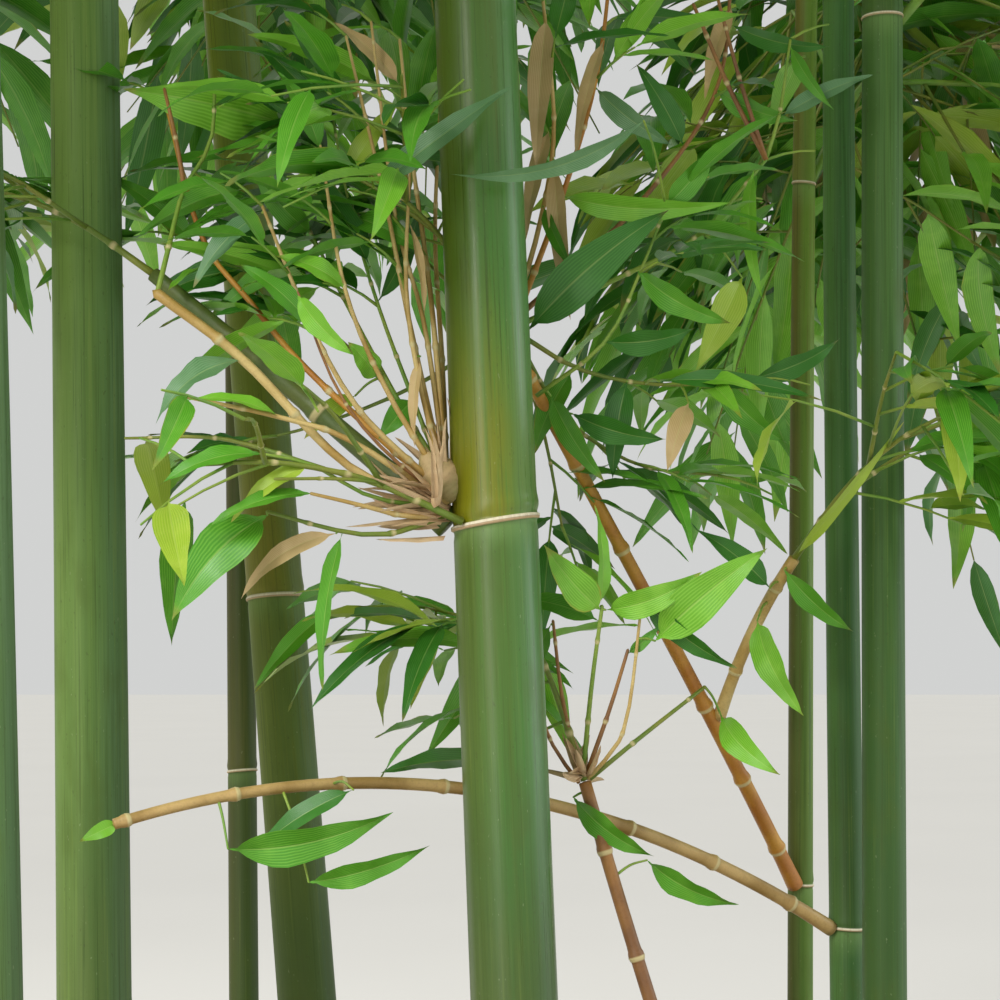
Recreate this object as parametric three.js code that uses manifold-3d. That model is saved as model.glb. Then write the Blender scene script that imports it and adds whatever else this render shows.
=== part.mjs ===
// A potted bamboo: a clump of upright culms that lean outward from a plain round planter,
// with ringed nodes, a few thin side branches low down, and sprays of lance leaves.
// Millimetres, +Z up. The origin is the middle of the planter's flat underside. The clump
// is seen from -Y, where its thickest culm stands in front.
import * as THREE from "three";
import { mergeVertices } from "three/addons/utils/BufferGeometryUtils.js";
import Module from "manifold-3d";

const wasm = await Module();
wasm.setup();

// Planter and its fill
const POT_HEIGHT = 500;
const POT_RIM_RADIUS = 360;
const POT_FOOT_RADIUS = 285;
const POT_WALL = 26;
const POT_FLOOR = 36;
const POT_BAND_HEIGHT = 62;
const POT_BAND_PROUD = 12;
const POT_EDGE = 7;
const POT_SIDES = 36;
const SOIL_LEVEL = 450;

// Clearance between pieces that touch, and from a leaf to a limb or to the next mass's space
const SEAT_GAP = 0.3;
const LIMB_MARGIN = 8;
const SPACE_MARGIN = 4;

// Culms
const CULM_SIDES = 8;
const THIN_CULM_SIDES = 6;
const THIN_CULM_RADIUS = 14;
const FOOT_FLARE = 1.18;
const FLARE_HEIGHT = 28;
const NODE_SWELL = 1.07;
const NODE_LIP = 5;
const NODE_SHOULDER = 15;
const TIP_RADIUS = 2.4;
const TAPER_POWER = 1.7;
const ARCH_POWER = 4;
const TIP_SAG = 0.05;
const TIP_SAG_POWER = 6;
const INTERNODE_SHRINK = 0.93;
const LOW_INTERNODE_SHRINK = 0.6;
const LEAST_NODE_HEIGHT = 40;
const TOP_INTERNODES = 1.5;
const LONGEST_CHORD = 285;
const CULM_CHORDS = 24;

// Side branches
const BOUGH_SIDES = 6;
const BOUGH_CHORDS = 5;

// Sprays: a mass of foliage is a stem with twigs, and leaves stand along them and at their ends.
// A shoot's stations are where its chain bends, as shares of its length, and a pair of numbers
// is a range that is drawn from.
const STEM_RADIUS = 3.6;
const TWIG_RADIUS = 2.6;
const LIMB_TAPER = 0.35;
const STEM_STATIONS = [0, 0.3, 0.52, 0.74, 1];
const TWIG_STATIONS = [0, 0.5, 1];
const TWIG_TESTS = [0.25, 0.5, 0.75, 1];
const STEM_SHARE = 0.72;
const TWIG_SHARE = 0.56;
const STEM_RISE_DEG = 50;
const DROOP = 0.42;
const TWIG_TURN_DEG = [35, 80];
const TWIG_LIFT_DEG = [-45, 15];
const STEEPEST_TWIG_DEG = 60;
const LENGTH_VARIES = [0.8, 1.1];
const TRIES = 8;
const FIRST_SEED = 20;

// Leaves
const CROWN_LEAF = 340;
const LOW_LEAF = 150;
const LEAF_WIDTH_SHARE = 0.22;
const LEAF_THICKNESS_SHARE = 0.0125;
const LEAF_BROADEST = 0.4;
const LEAF_SEATS = [0.62, 0.8, 0.96];
const LEAF_SIDES_DEG = [-40, 40, 0];
const LEAF_TURN_DEG = [-25, 25];
const LEAF_RISE_DEG = [-50, 15];
const LEAF_ROLL_DEG = [-55, 55];
const BLADE_STEPS = 7;
const BLADE_ROOT_STEPS = [0.35, 0.7];
const LEAST_EDGE = 0.01;

// How far masses reach, and the sides of a culm that they may take. The choices are wider high up.
const CROWN_REACH = 300;
const CROWN_REACH_SPREAD = 190;
const TIP_REACH_SHARE = 0.8;
const LOW_REACH = 230;
const SIDE_CHOICES = [-1, -0.75, -0.5, -0.25, 0, 0.25, 0.5, 0.75, 1];
const LOW_SIDE_DEG = 60;
const HIGH_SIDE_DEG = 170;
const FAN_CORNER_DEG = 225;
const FAN_AZIMUTH_DEG = 195;
const FAN_RISE_DEG = 28;

// Each culm: foot on the soil, lean as the slope of its axis, arch as the outward sweep of its
// top, length, diameter, the height of its first node with branches, the internode above that
// node and the one below it, the side its branches leave from, the number of masses of foliage
// on it and how many nodes stay bare below them.
const CULMS = [
  { name: "culm_front", foot: [40, -75], lean: [-0.0395, 0], archDeg: 285, arch: 0.05, length: 4400,
    diameter: 48, node: 570, above: 560, below: 325, sideDeg: 275, masses: 6, bare: 0 },
  { name: "culm_left", foot: [-206, -4], lean: [-0.022, 0.005], archDeg: 186, arch: 0.09, length: 4050,
    diameter: 43, node: 285, above: 610, below: 220, sideDeg: 190, masses: 5, bare: 0 },
  { name: "culm_far_left", foot: [-232, -118], lean: [-0.028, -0.03], archDeg: 222, arch: 0.15,
    length: 3250, diameter: 27, node: 265, above: 620, below: 205, sideDeg: 228, masses: 3, bare: 1 },
  { name: "culm_back_left", foot: [-80, 152], lean: [-0.087, 0.022], archDeg: 110, arch: 0.04,
    length: 3850, diameter: 38, node: 535, above: 600, below: 348, sideDeg: 140, masses: 4, bare: 0 },
  { name: "culm_rear_left", foot: [-146, 206], lean: [-0.018, 0.03], archDeg: 118, arch: 0.16,
    length: 2900, diameter: 20, node: 420, above: 560, below: 260, sideDeg: 120, masses: 3, bare: 1 },
  { name: "culm_rear", foot: [42, 247], lean: [-0.03, 0.02], archDeg: 84, arch: 0.1, length: 3600,
    diameter: 27, node: 500, above: 520, below: 290, sideDeg: 75, masses: 3, bare: 0 },
  { name: "culm_rear_right", foot: [214, 187], lean: [0.012, 0.015], archDeg: 48, arch: 0.17,
    length: 2750, diameter: 17, node: 347, above: 470, below: 220, sideDeg: 48, masses: 3, bare: 0 },
  { name: "culm_right", foot: [236, 104], lean: [0, 0.018], archDeg: 14, arch: 0.14, length: 3300,
    diameter: 22, node: 328, above: 640, below: 210, sideDeg: 10, masses: 4, bare: 1 },
  { name: "culm_far_right", foot: [250, 67], lean: [0.008, 0.004], archDeg: 325, arch: 0.1,
    length: 3700, diameter: 27, node: 274, above: 620, below: 190, sideDeg: 320, masses: 4, bare: 0 },
];

// Each bough: a thin side branch from the culm, bough or soil that it grows on to its tip, bent
// through the point that its ends are drawn towards. A leafy one carries a mass of foliage.
const BOUGHS = [
  { name: "bough_node_branch", on: "culm_front", height: 570, towards: [-95, -66, 1095],
    tip: [-176, -52, 1162], radius: 6.6, tipRadius: 4.2, leafy: true },
  { name: "bough_leaning", on: "culm_rear_right", height: 347, towards: [150, 92, 915],
    tip: [24, -22, 1130], radius: 5, tipRadius: 3.6, leafy: true },
  { name: "bough_low", on: "culm_right", height: 328, towards: [12, -8, 919],
    tip: [-189, -86, 856], radius: 4.4, tipRadius: 3, leafy: false },
  { name: "bough_shoot", on: "soil", foot: [206, -34], towards: [118, -20, 700],
    tip: [68, -25, 876], radius: 4.6, tipRadius: 3.6, leafy: true },
  { name: "bough_fork", on: "bough_leaning", ring: 2, towards: [172, 74, 965],
    tip: [198, 50, 1006], radius: 3.8, tipRadius: 3.6, leafy: true },
];

const CULM_GREEN = new THREE.MeshStandardMaterial({ color: 0x55762f, roughness: 0.38 });
const BRANCH_OLIVE = new THREE.MeshStandardMaterial({ color: 0xb08a3c, roughness: 0.55 });
const LEAF_GREEN = new THREE.MeshStandardMaterial({ color: 0x3f8f22, roughness: 0.5 });
const TERRACOTTA = new THREE.MeshStandardMaterial({ color: 0xb4653f, roughness: 0.8 });
const DARK_SOIL = new THREE.MeshStandardMaterial({ color: 0x3a2a1d, roughness: 0.95 });

// Repeatable random numbers
class Dice {
  constructor(seed) {
    this.state = (seed * 7919) % 2147483647;
  }

  between(low, high) {
    this.state = (this.state * 16807) % 2147483647;
    return low + ((high - low) * this.state) / 2147483647;
  }
}

const radians = (degrees) => (degrees * Math.PI) / 180;
const vector = (x, y, z) => new THREE.Vector3(x, y, z);
const UP = vector(0, 0, 1);
const azimuthOf = (direction) => (Math.atan2(direction.y, direction.x) * 180) / Math.PI;

function heading(azimuthDeg, riseDeg) {
  const flat = Math.cos(radians(riseDeg));
  const x = flat * Math.cos(radians(azimuthDeg));
  const y = flat * Math.sin(radians(azimuthDeg));
  return vector(x, y, Math.sin(radians(riseDeg)));
}

// A closed solid from a three.js geometry: shared corners merged, flat faces dropped, faces out
function solidOf(geometry) {
  const bare = geometry.index ? geometry.toNonIndexed() : geometry.clone();
  bare.deleteAttribute("normal");
  bare.deleteAttribute("uv");
  const merged = mergeVertices(bare, 1e-3);
  const position = merged.attributes.position;
  const corner = (i) => vector().fromBufferAttribute(position, merged.index.getX(i));
  let volume = 0;
  const faces = [];
  for (let i = 0; i < merged.index.count; i += 3) {
    const [a, b, c] = [0, 1, 2].map((k) => merged.index.getX(i + k));
    if (a === b || b === c || c === a) continue;
    volume += corner(i).cross(corner(i + 1)).dot(corner(i + 2));
    faces.push([a, b, c]);
  }
  const facing = volume < 0 ? faces.map((face) => face.reverse()) : faces;
  return new wasm.Manifold(
    new wasm.Mesh({
      numProp: 3,
      vertProperties: position.array,
      triVerts: new Uint32Array(facing.flat()),
    }),
  );
}

const group = new THREE.Group();

function addNode(name, solid, material) {
  const shape = solid.getMesh();
  const geometry = new THREE.BufferGeometry();
  geometry.setAttribute("position", new THREE.BufferAttribute(shape.vertProperties, 3));
  geometry.setIndex(new THREE.BufferAttribute(shape.triVerts, 1));
  geometry.computeVertexNormals();
  const mesh = new THREE.Mesh(geometry, material);
  mesh.name = name;
  group.add(mesh);
}

// The world axis that a limb lies least along, which its sections are squared to
function squareAxis(points) {
  const run = points[points.length - 1].clone().sub(points[0]);
  const [x, y, z] = run.toArray().map(Math.abs);
  if (y <= x && y <= z) return vector(0, 1, 0);
  return x <= z ? vector(1, 0, 0) : vector(0, 0, 1);
}

// How each ring of a limb is turned: square to the limb, but for the first, which faces the way
// given
function ringFrames(points, facing) {
  const last = points.length - 1;
  return points.map((point, i) => {
    const run = points[Math.min(i + 1, last)].clone().sub(points[Math.max(i - 1, 0)]).normalize();
    if (facing && i === 0) run.copy(facing);
    const side = squareAxis(points).cross(run).normalize();
    return { point, side, front: run.cross(side) };
  });
}

// A round limb through centre points with a radius at each: a lathe of one ring for each point,
// with each ring then set in its frame
function limb(points, radii, sides, facing) {
  const profile = [
    new THREE.Vector2(0, 0),
    ...radii.map((radius, i) => new THREE.Vector2(radius, i)),
    new THREE.Vector2(0, points.length - 1),
  ];
  const frames = ringFrames(points, facing);
  const lathe = new THREE.LatheGeometry(profile, sides);
  const position = lathe.attributes.position;
  for (let i = 0; i < position.count; i++) {
    const frame = frames[Math.round(position.getY(i))];
    const placed = frame.point
      .clone()
      .addScaledVector(frame.side, position.getX(i))
      .addScaledVector(frame.front, position.getZ(i));
    position.setXYZ(i, placed.x, placed.y, placed.z);
  }
  return solidOf(lathe);
}

// The seat of a side limb on a ring: just clear of the ring's corner that is nearest the way
// wanted, with its foot facing out from there
function cornerSeat(frame, radius, sides, wanted) {
  const corners = Array.from({ length: sides }, (_, i) => {
    const turn = (2 * Math.PI * i) / sides;
    return frame.side.clone().multiplyScalar(Math.sin(turn)).addScaledVector(frame.front, Math.cos(turn));
  });
  const aims = corners.map((corner) => corner.dot(wanted));
  const facing = corners[aims.indexOf(Math.max(...aims))];
  return { start: frame.point.clone().addScaledVector(facing, radius + SEAT_GAP), facing };
}

// The point at a share of the way along a chain of points that are spaced by the given shares
function along(points, shares, share) {
  const next = shares.findIndex((end, i) => i > 0 && share <= end + 1e-9);
  const span = shares[next] - shares[next - 1];
  return points[next - 1].clone().lerp(points[next], (share - shares[next - 1]) / span);
}

// Culms

function culmAxis(culm, height) {
  const share = Math.max(height / culm.length, 0);
  const sweep = culm.arch * culm.length * share ** ARCH_POWER;
  return vector(
    culm.foot[0] + culm.lean[0] * height + Math.cos(radians(culm.archDeg)) * sweep,
    culm.foot[1] + culm.lean[1] * height + Math.sin(radians(culm.archDeg)) * sweep,
    SOIL_LEVEL + height - TIP_SAG * culm.length * share ** TIP_SAG_POWER,
  );
}

function culmTangent(culm, height) {
  return culmAxis(culm, height + 1).sub(culmAxis(culm, height - 1)).normalize();
}

function culmRadius(culm, height) {
  const share = Math.min(Math.max(height / culm.length, 0), 1);
  return TIP_RADIUS + (culm.diameter / 2 - TIP_RADIUS) * (1 - share ** TAPER_POWER);
}

// Node rings: internodes shorten downward from the first branching node and upward above it
function nodeHeights(culm) {
  const heights = [culm.node];
  let internode = culm.below;
  while (heights[0] - internode > LEAST_NODE_HEIGHT) {
    heights.unshift(heights[0] - internode);
    internode *= LOW_INTERNODE_SHRINK;
  }
  internode = culm.above;
  while (heights[heights.length - 1] + TOP_INTERNODES * internode < culm.length) {
    heights.push(heights[heights.length - 1] + internode);
    internode *= INTERNODE_SHRINK;
  }
  return heights;
}

function culmRings(culm) {
  const rings = [
    [SEAT_GAP, culmRadius(culm, 0) * FOOT_FLARE],
    [FLARE_HEIGHT, culmRadius(culm, 0)],
  ];
  let last = FLARE_HEIGHT;
  for (const height of [...nodeHeights(culm), culm.length]) {
    const chords = Math.ceil((height - last) / LONGEST_CHORD);
    for (let i = 1; i < chords; i++) {
      const between = last + ((height - last) * i) / chords;
      rings.push([between, culmRadius(culm, between)]);
    }
    const radius = culmRadius(culm, height);
    if (radius > THIN_CULM_RADIUS) rings.push([height - NODE_LIP, radius]);
    rings.push([height, height < culm.length ? radius * NODE_SWELL : TIP_RADIUS]);
    if (radius > THIN_CULM_RADIUS) rings.push([height + NODE_SHOULDER, radius]);
    last = height;
  }
  return rings;
}

for (const culm of CULMS) {
  culm.rings = culmRings(culm);
  culm.points = culm.rings.map(([height]) => culmAxis(culm, height));
  culm.sides = culm.diameter / 2 > THIN_CULM_RADIUS ? CULM_SIDES : THIN_CULM_SIDES;
}

// The seat of a shoot that goes on from a limb's tip
function tipSeat(points) {
  const [before, end] = points.slice(-2);
  const direction = end.clone().sub(before).normalize();
  return { start: end.clone().addScaledVector(direction, SEAT_GAP), direction };
}

function culmSolid(culm) {
  return limb(culm.points, culm.rings.map(([, radius]) => radius), culm.sides, UP);
}

// The seat of a side limb on a culm's ring at a height
function culmSeat(culm, height, wanted) {
  const ring = culm.rings.findIndex(([other]) => other === height);
  const frame = ringFrames(culm.points, UP)[ring];
  return cornerSeat(frame, culm.rings[ring][1], culm.sides, wanted);
}

// Boughs

function boughSeat(bough) {
  if (bough.on === "soil") {
    return { start: vector(...bough.foot, SOIL_LEVEL + SEAT_GAP), facing: UP };
  }
  const towards = vector(...bough.towards);
  const culm = CULMS.find((other) => other.name === bough.on);
  if (culm) return culmSeat(culm, bough.height, towards.sub(culmAxis(culm, bough.height)));
  const parent = BOUGHS.find((other) => other.name === bough.on);
  const frame = ringFrames(parent.points, parent.facing)[bough.ring];
  return cornerSeat(frame, parent.radii[bough.ring], BOUGH_SIDES, towards.sub(frame.point));
}

for (const bough of BOUGHS) {
  const { start, facing } = boughSeat(bough);
  bough.curve = new THREE.QuadraticBezierCurve3(start, vector(...bough.towards), vector(...bough.tip));
  bough.facing = facing;
  bough.points = bough.curve.getPoints(BOUGH_CHORDS);
  const step = (bough.tipRadius - bough.radius) / BOUGH_CHORDS;
  bough.radii = bough.points.map((_, i) => bough.radius + step * i);
}

function boughSolid(bough) {
  return limb(bough.points, bough.radii, BOUGH_SIDES, bough.facing);
}

// The straight stretches of all culms and boughs with their radii, which twigs and leaves stay
// clear of
const obstacles = [];

function addObstacles(points, radii) {
  for (let i = 1; i < points.length; i++) {
    obstacles.push({ line: new THREE.Line3(points[i - 1], points[i]), radius: radii[i - 1] });
  }
}

for (const culm of CULMS) {
  const heights = Array.from({ length: CULM_CHORDS + 1 }, (_, i) => (culm.length * i) / CULM_CHORDS);
  const points = heights.map((height) => culmAxis(culm, height));
  addObstacles(points, heights.map((height) => culmRadius(culm, height) * NODE_SWELL));
}
for (const bough of BOUGHS) addObstacles(bough.points, bough.radii);

const nearest = vector();
function limbClearance(point) {
  const clearances = obstacles.map(({ line, radius }) => {
    return line.closestPointToPoint(point, true, nearest).distanceTo(point) - radius;
  });
  return Math.min(...clearances);
}

// Foliage

// A shoot rises from its start and droops under its own weight
function shootPoint(start, direction, length, reach) {
  const share = length / reach;
  const sag = DROOP * reach * share * share;
  return start.clone().addScaledVector(direction, length).add(vector(0, 0, -sag));
}

function shootPoints(start, direction, length, reach, shares) {
  return shares.map((share) => shootPoint(start, direction, share * length, reach));
}

// A direction turned up from a side toward an upward one
function tilted(side, upward, riseDeg) {
  const rise = radians(riseDeg);
  return side.clone().multiplyScalar(Math.cos(rise)).addScaledVector(upward, Math.sin(rise)).normalize();
}

function makeMass(name, start, direction, facing, reach, leafLength) {
  const stem = shootPoints(start, direction, reach * STEM_SHARE, reach, STEM_STATIONS);
  return { name, direction, facing, reach, leafLength, stem };
}

const distanceTo = (point, points) => Math.min(...points.map((other) => other.distanceTo(point)));

// How far a mass reaches: short near the foot and tip of a culm, longest between them
function crownReach(share) {
  return CROWN_REACH + CROWN_REACH_SPREAD * Math.sin(Math.PI * share);
}

// The masses of one culm stand at nodes on alternate sides, each turned to the most open side,
// and the last one goes on from the culm's tip
function addCulmMasses(culm, placed) {
  const short = culm.name.slice("culm_".length);
  const nodes = nodeHeights(culm);
  const leafy = nodes.slice(nodes.indexOf(culm.node) + 1 + culm.bare);
  for (let i = 0; i < culm.masses - 1; i++) {
    const height = leafy[Math.round((i * (leafy.length - 1)) / (culm.masses - 1.5))];
    const reach = crownReach(height / culm.length);
    const spread = LOW_SIDE_DEG + (HIGH_SIDE_DEG - LOW_SIDE_DEG) * (height / culm.length);
    const upward = culmTangent(culm, height);
    const options = SIDE_CHOICES.map((turn) => {
      const { start, facing } = culmSeat(culm, height, heading(culm.sideDeg + turn * spread, 0));
      const direction = tilted(facing, upward, STEM_RISE_DEG);
      return makeMass(`foliage_${short}_${i + 1}`, start, direction, facing, reach, CROWN_LEAF);
    });
    const others = placed.flatMap((mass) => mass.stem);
    const openness = options.map((mass) => {
      const outer = mass.stem.slice(2);
      return Math.min(...outer.map((point) => Math.min(distanceTo(point, others), limbClearance(point))));
    });
    placed.push(options[openness.indexOf(Math.max(...openness))]);
  }
  const { start, direction } = tipSeat(culm.points);
  const reach = crownReach(TIP_REACH_SHARE);
  placed.push(makeMass(`foliage_${short}_tip`, start, direction, direction, reach, CROWN_LEAF));
}

// The low masses: the fan that leaves the front culm's ring, and one on each leafy bough's tip
function lowMasses() {
  const front = CULMS[0];
  const { start, facing } = culmSeat(front, front.node, heading(FAN_CORNER_DEG, 0));
  const direction = heading(FAN_AZIMUTH_DEG, FAN_RISE_DEG);
  const masses = [makeMass("foliage_node_fan", start, direction, facing, LOW_REACH, LOW_LEAF)];
  for (const bough of BOUGHS.filter((other) => other.leafy)) {
    const { start: end, direction: onward } = tipSeat(bough.points);
    const name = `foliage_${bough.name.slice("bough_".length)}`;
    masses.push(makeMass(name, end, onward, onward, LOW_REACH, LOW_LEAF));
  }
  return masses;
}

// A leaf's corners: root, tip, two edge points and the top of its ridge
function leafCorners(root, azimuthDeg, riseDeg, rollDeg, length) {
  const forward = heading(azimuthDeg, riseDeg);
  const level = heading(azimuthDeg + 90, 0);
  const roll = radians(rollDeg);
  const across = level.clone().multiplyScalar(Math.cos(roll));
  across.addScaledVector(forward.clone().cross(level), Math.sin(roll));
  const normal = forward.clone().cross(across);
  const middle = root.clone().addScaledVector(forward, length * LEAF_BROADEST);
  const half = (length * LEAF_WIDTH_SHARE) / 2;
  const thick = length * LEAF_THICKNESS_SHARE;
  return {
    root,
    tip: root.clone().addScaledVector(forward, length),
    left: middle.clone().addScaledVector(across, half),
    right: middle.clone().addScaledVector(across, -half),
    ridge: middle.clone().addScaledVector(normal, thick),
  };
}

// A three-edged blade: a lathe of one ring between two poles, with its corners moved to the leaf's
function leafSolid(leaf) {
  const profile = [0, 1, 0].map((radius, i) => new THREE.Vector2(radius, i));
  const blade = new THREE.LatheGeometry(profile, 3);
  const position = blade.attributes.position;
  const rim = [leaf.left, leaf.ridge, leaf.right];
  for (let i = 0; i < position.count; i++) {
    const corner = [leaf.root, rim[Math.floor(i / 3) % 3], leaf.tip][i % 3];
    position.setXYZ(i, corner.x, corner.y, corner.z);
  }
  return solidOf(blade);
}

// Points along both edges and the middle of a blade
function leafSamples(leaf) {
  const samples = [leaf.tip];
  for (const corner of [leaf.left, leaf.ridge, leaf.right]) {
    for (const share of BLADE_ROOT_STEPS) samples.push(leaf.root.clone().lerp(corner, share));
    for (let k = 0; k < BLADE_STEPS; k++) samples.push(corner.clone().lerp(leaf.tip, k / BLADE_STEPS));
  }
  return samples;
}

// A mass may fill the points that are nearer to its own stem than to any other mass's
function inOwnSpace(point, mass, masses) {
  const limit = distanceTo(point, mass.stem) + 2 * SPACE_MARGIN;
  return masses.every((other) => other === mass || distanceTo(point, other.stem) > limit);
}

// The length of a solid's shortest edge, by which a sliver shows
function shortestEdge(solid) {
  const { vertProperties, triVerts } = solid.getMesh();
  const corner = (i) => vector().fromArray(vertProperties, 3 * triVerts[i]);
  let shortest = Infinity;
  for (let i = 0; i < triVerts.length; i++) {
    const next = i % 3 === 2 ? i - 2 : i + 1;
    shortest = Math.min(shortest, corner(i).distanceTo(corner(next)));
  }
  return shortest;
}

// Twigs leave the middle stations of a mass's stem on alternate sides. Each tries a few
// directions and takes the first that fits the mass's space.
function massShoots(mass, dice, fits) {
  const stemAzimuth = azimuthOf(mass.direction);
  const riseDeg = (Math.asin(mass.direction.z) * 180) / Math.PI;
  const stem = { points: mass.stem, shares: STEM_STATIONS, azimuthDeg: stemAzimuth, radius: STEM_RADIUS };
  const shoots = [stem];
  for (let i = 1; i < STEM_STATIONS.length - 1; i++) {
    for (let attempt = 0; attempt < TRIES; attempt++) {
      const turn = (i % 2 ? 1 : -1) * dice.between(...TWIG_TURN_DEG);
      const rise = Math.min(riseDeg, STEEPEST_TWIG_DEG) + dice.between(...TWIG_LIFT_DEG);
      const length = mass.reach * TWIG_SHARE * dice.between(...LENGTH_VARIES);
      const azimuthDeg = stemAzimuth + turn;
      const points = shootPoints(mass.stem[i], heading(azimuthDeg, rise), length, mass.reach, TWIG_STATIONS);
      if (!fits(TWIG_TESTS.map((share) => along(points, TWIG_STATIONS, share)))) continue;
      shoots.push({ points, shares: TWIG_STATIONS, azimuthDeg, radius: TWIG_RADIUS });
      break;
    }
  }
  return shoots;
}

// Add a leaf at one seat of a shoot, turned the first of a few ways that fits the mass's space
// and joins its shoot without a sliver
function addLeaf(whole, mass, shoot, seat, dice, fits) {
  const root = along(shoot.points, shoot.shares, LEAF_SEATS[seat]);
  const leastEdge = Math.min(LEAST_EDGE, shortestEdge(whole));
  for (let attempt = 0; attempt < TRIES; attempt++) {
    const azimuthDeg = shoot.azimuthDeg + LEAF_SIDES_DEG[seat] + dice.between(...LEAF_TURN_DEG);
    const length = mass.leafLength * dice.between(...LENGTH_VARIES);
    const rise = dice.between(...LEAF_RISE_DEG);
    const leaf = leafCorners(root, azimuthDeg, rise, dice.between(...LEAF_ROLL_DEG), length);
    if (!fits(leafSamples(leaf))) continue;
    const joined = whole.add(leafSolid(leaf));
    if (shortestEdge(joined) >= leastEdge) return joined;
  }
  return whole;
}

function massSolid(mass, masses) {
  const dice = new Dice(FIRST_SEED + masses.indexOf(mass));
  const fits = (points) =>
    points.every((point) => inOwnSpace(point, mass, masses) && limbClearance(point) > LIMB_MARGIN);
  const shoots = massShoots(mass, dice, fits);
  const limbs = shoots.map(({ points, shares, radius }, i) => {
    const radii = shares.map((share) => radius * (1 - LIMB_TAPER * share));
    return limb(points, radii, 3, i === 0 ? mass.facing : null);
  });
  let whole = limbs.reduce((joined, solid) => joined.add(solid));
  for (const shoot of shoots) {
    for (const seat of LEAF_SEATS.keys()) whole = addLeaf(whole, mass, shoot, seat, dice, fits);
  }
  return whole;
}

// Planter

function turnedSolid(points) {
  const profile = points.map(([radius, height]) => new THREE.Vector2(radius, height));
  return solidOf(new THREE.LatheGeometry(profile, POT_SIDES).rotateX(Math.PI / 2));
}

function potWallRadius(height) {
  const top = POT_RIM_RADIUS - POT_BAND_PROUD;
  return POT_FOOT_RADIUS + ((top - POT_FOOT_RADIUS) * height) / POT_HEIGHT;
}

function potSolid() {
  const bandFoot = POT_HEIGHT - POT_BAND_HEIGHT;
  const inside = (height) => potWallRadius(height) - POT_WALL;
  return turnedSolid([
    [0, 0],
    [POT_FOOT_RADIUS - POT_EDGE, 0],
    [potWallRadius(POT_EDGE), POT_EDGE],
    [potWallRadius(bandFoot), bandFoot],
    [POT_RIM_RADIUS, bandFoot + POT_EDGE],
    [POT_RIM_RADIUS, POT_HEIGHT - POT_EDGE],
    [POT_RIM_RADIUS - POT_EDGE, POT_HEIGHT],
    [inside(POT_HEIGHT) + POT_EDGE, POT_HEIGHT],
    [inside(POT_HEIGHT), POT_HEIGHT - POT_EDGE],
    [inside(POT_FLOOR), POT_FLOOR],
    [0, POT_FLOOR],
  ]);
}

function soilSolid() {
  const inside = (height) => potWallRadius(height) - POT_WALL - 2 * SEAT_GAP;
  return turnedSolid([
    [0, POT_FLOOR + SEAT_GAP],
    [inside(POT_FLOOR), POT_FLOOR + SEAT_GAP],
    [inside(SOIL_LEVEL), SOIL_LEVEL],
    [0, SOIL_LEVEL],
  ]);
}

addNode("pot", potSolid(), TERRACOTTA);
addNode("soil", soilSolid(), DARK_SOIL);
for (const culm of CULMS) addNode(culm.name, culmSolid(culm), CULM_GREEN);
for (const bough of BOUGHS) addNode(bough.name, boughSolid(bough), BRANCH_OLIVE);

const masses = lowMasses();
for (const culm of CULMS) addCulmMasses(culm, masses);
for (const mass of masses) addNode(mass.name, massSolid(mass, masses), LEAF_GREEN);

export default group;
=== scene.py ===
"""The looks of the potted bamboo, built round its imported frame.

Lengths are in millimetres in the same frame as the frame's nodes, and a mesh is scaled to metres
when it is made. The clump grows by the same rule as the frame's solids: culms from the soil, boughs
from their nodes, and masses of foliage whose stems, twigs, twiglets and leaves keep to their space.
"""

from __future__ import annotations

import logging
import math
from dataclasses import dataclass, field
from enum import Enum
from typing import Iterable, Sequence

import bmesh
import bpy
import numpy as np
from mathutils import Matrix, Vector, noise

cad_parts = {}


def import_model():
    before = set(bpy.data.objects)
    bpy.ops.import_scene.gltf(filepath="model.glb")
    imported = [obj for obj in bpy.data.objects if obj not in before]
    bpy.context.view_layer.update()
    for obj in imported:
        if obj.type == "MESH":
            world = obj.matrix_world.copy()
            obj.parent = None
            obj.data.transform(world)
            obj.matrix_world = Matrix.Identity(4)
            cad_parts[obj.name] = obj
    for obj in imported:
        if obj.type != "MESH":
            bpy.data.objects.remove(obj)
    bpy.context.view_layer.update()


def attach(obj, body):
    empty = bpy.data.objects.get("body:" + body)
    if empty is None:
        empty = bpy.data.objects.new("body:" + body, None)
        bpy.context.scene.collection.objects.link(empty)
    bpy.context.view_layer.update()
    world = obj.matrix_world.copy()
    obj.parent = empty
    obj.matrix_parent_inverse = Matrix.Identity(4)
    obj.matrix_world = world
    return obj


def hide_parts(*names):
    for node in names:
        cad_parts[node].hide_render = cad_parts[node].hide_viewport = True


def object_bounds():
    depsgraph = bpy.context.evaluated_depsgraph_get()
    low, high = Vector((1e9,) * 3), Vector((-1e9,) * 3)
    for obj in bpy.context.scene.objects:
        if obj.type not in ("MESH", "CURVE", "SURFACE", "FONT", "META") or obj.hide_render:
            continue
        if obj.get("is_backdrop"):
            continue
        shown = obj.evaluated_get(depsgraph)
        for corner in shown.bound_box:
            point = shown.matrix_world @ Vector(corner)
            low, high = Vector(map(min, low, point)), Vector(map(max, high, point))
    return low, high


LOG = logging.getLogger("bamboo")

MM = 0.001
SEAT_GAP = 0.3
SOIL_LEVEL = 450.0
EYE = np.array([20.0, -1325.0, 945.0])
FRONT_PLANE = -75.0
X_AXIS, Y_AXIS, Z_AXIS = np.eye(3)

Array = np.ndarray
Pair = tuple[Array, Array]
Socket = bpy.types.NodeSocket
Material, Mesh, Piece = bpy.types.Material, bpy.types.Mesh, bpy.types.Object
Colour = tuple[float, float, float, float]


def unit(vector: Array) -> Array:
    """Return a vector, or a row of vectors, at unit length."""
    return vector / np.linalg.norm(vector, axis=-1, keepdims=True)


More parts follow.
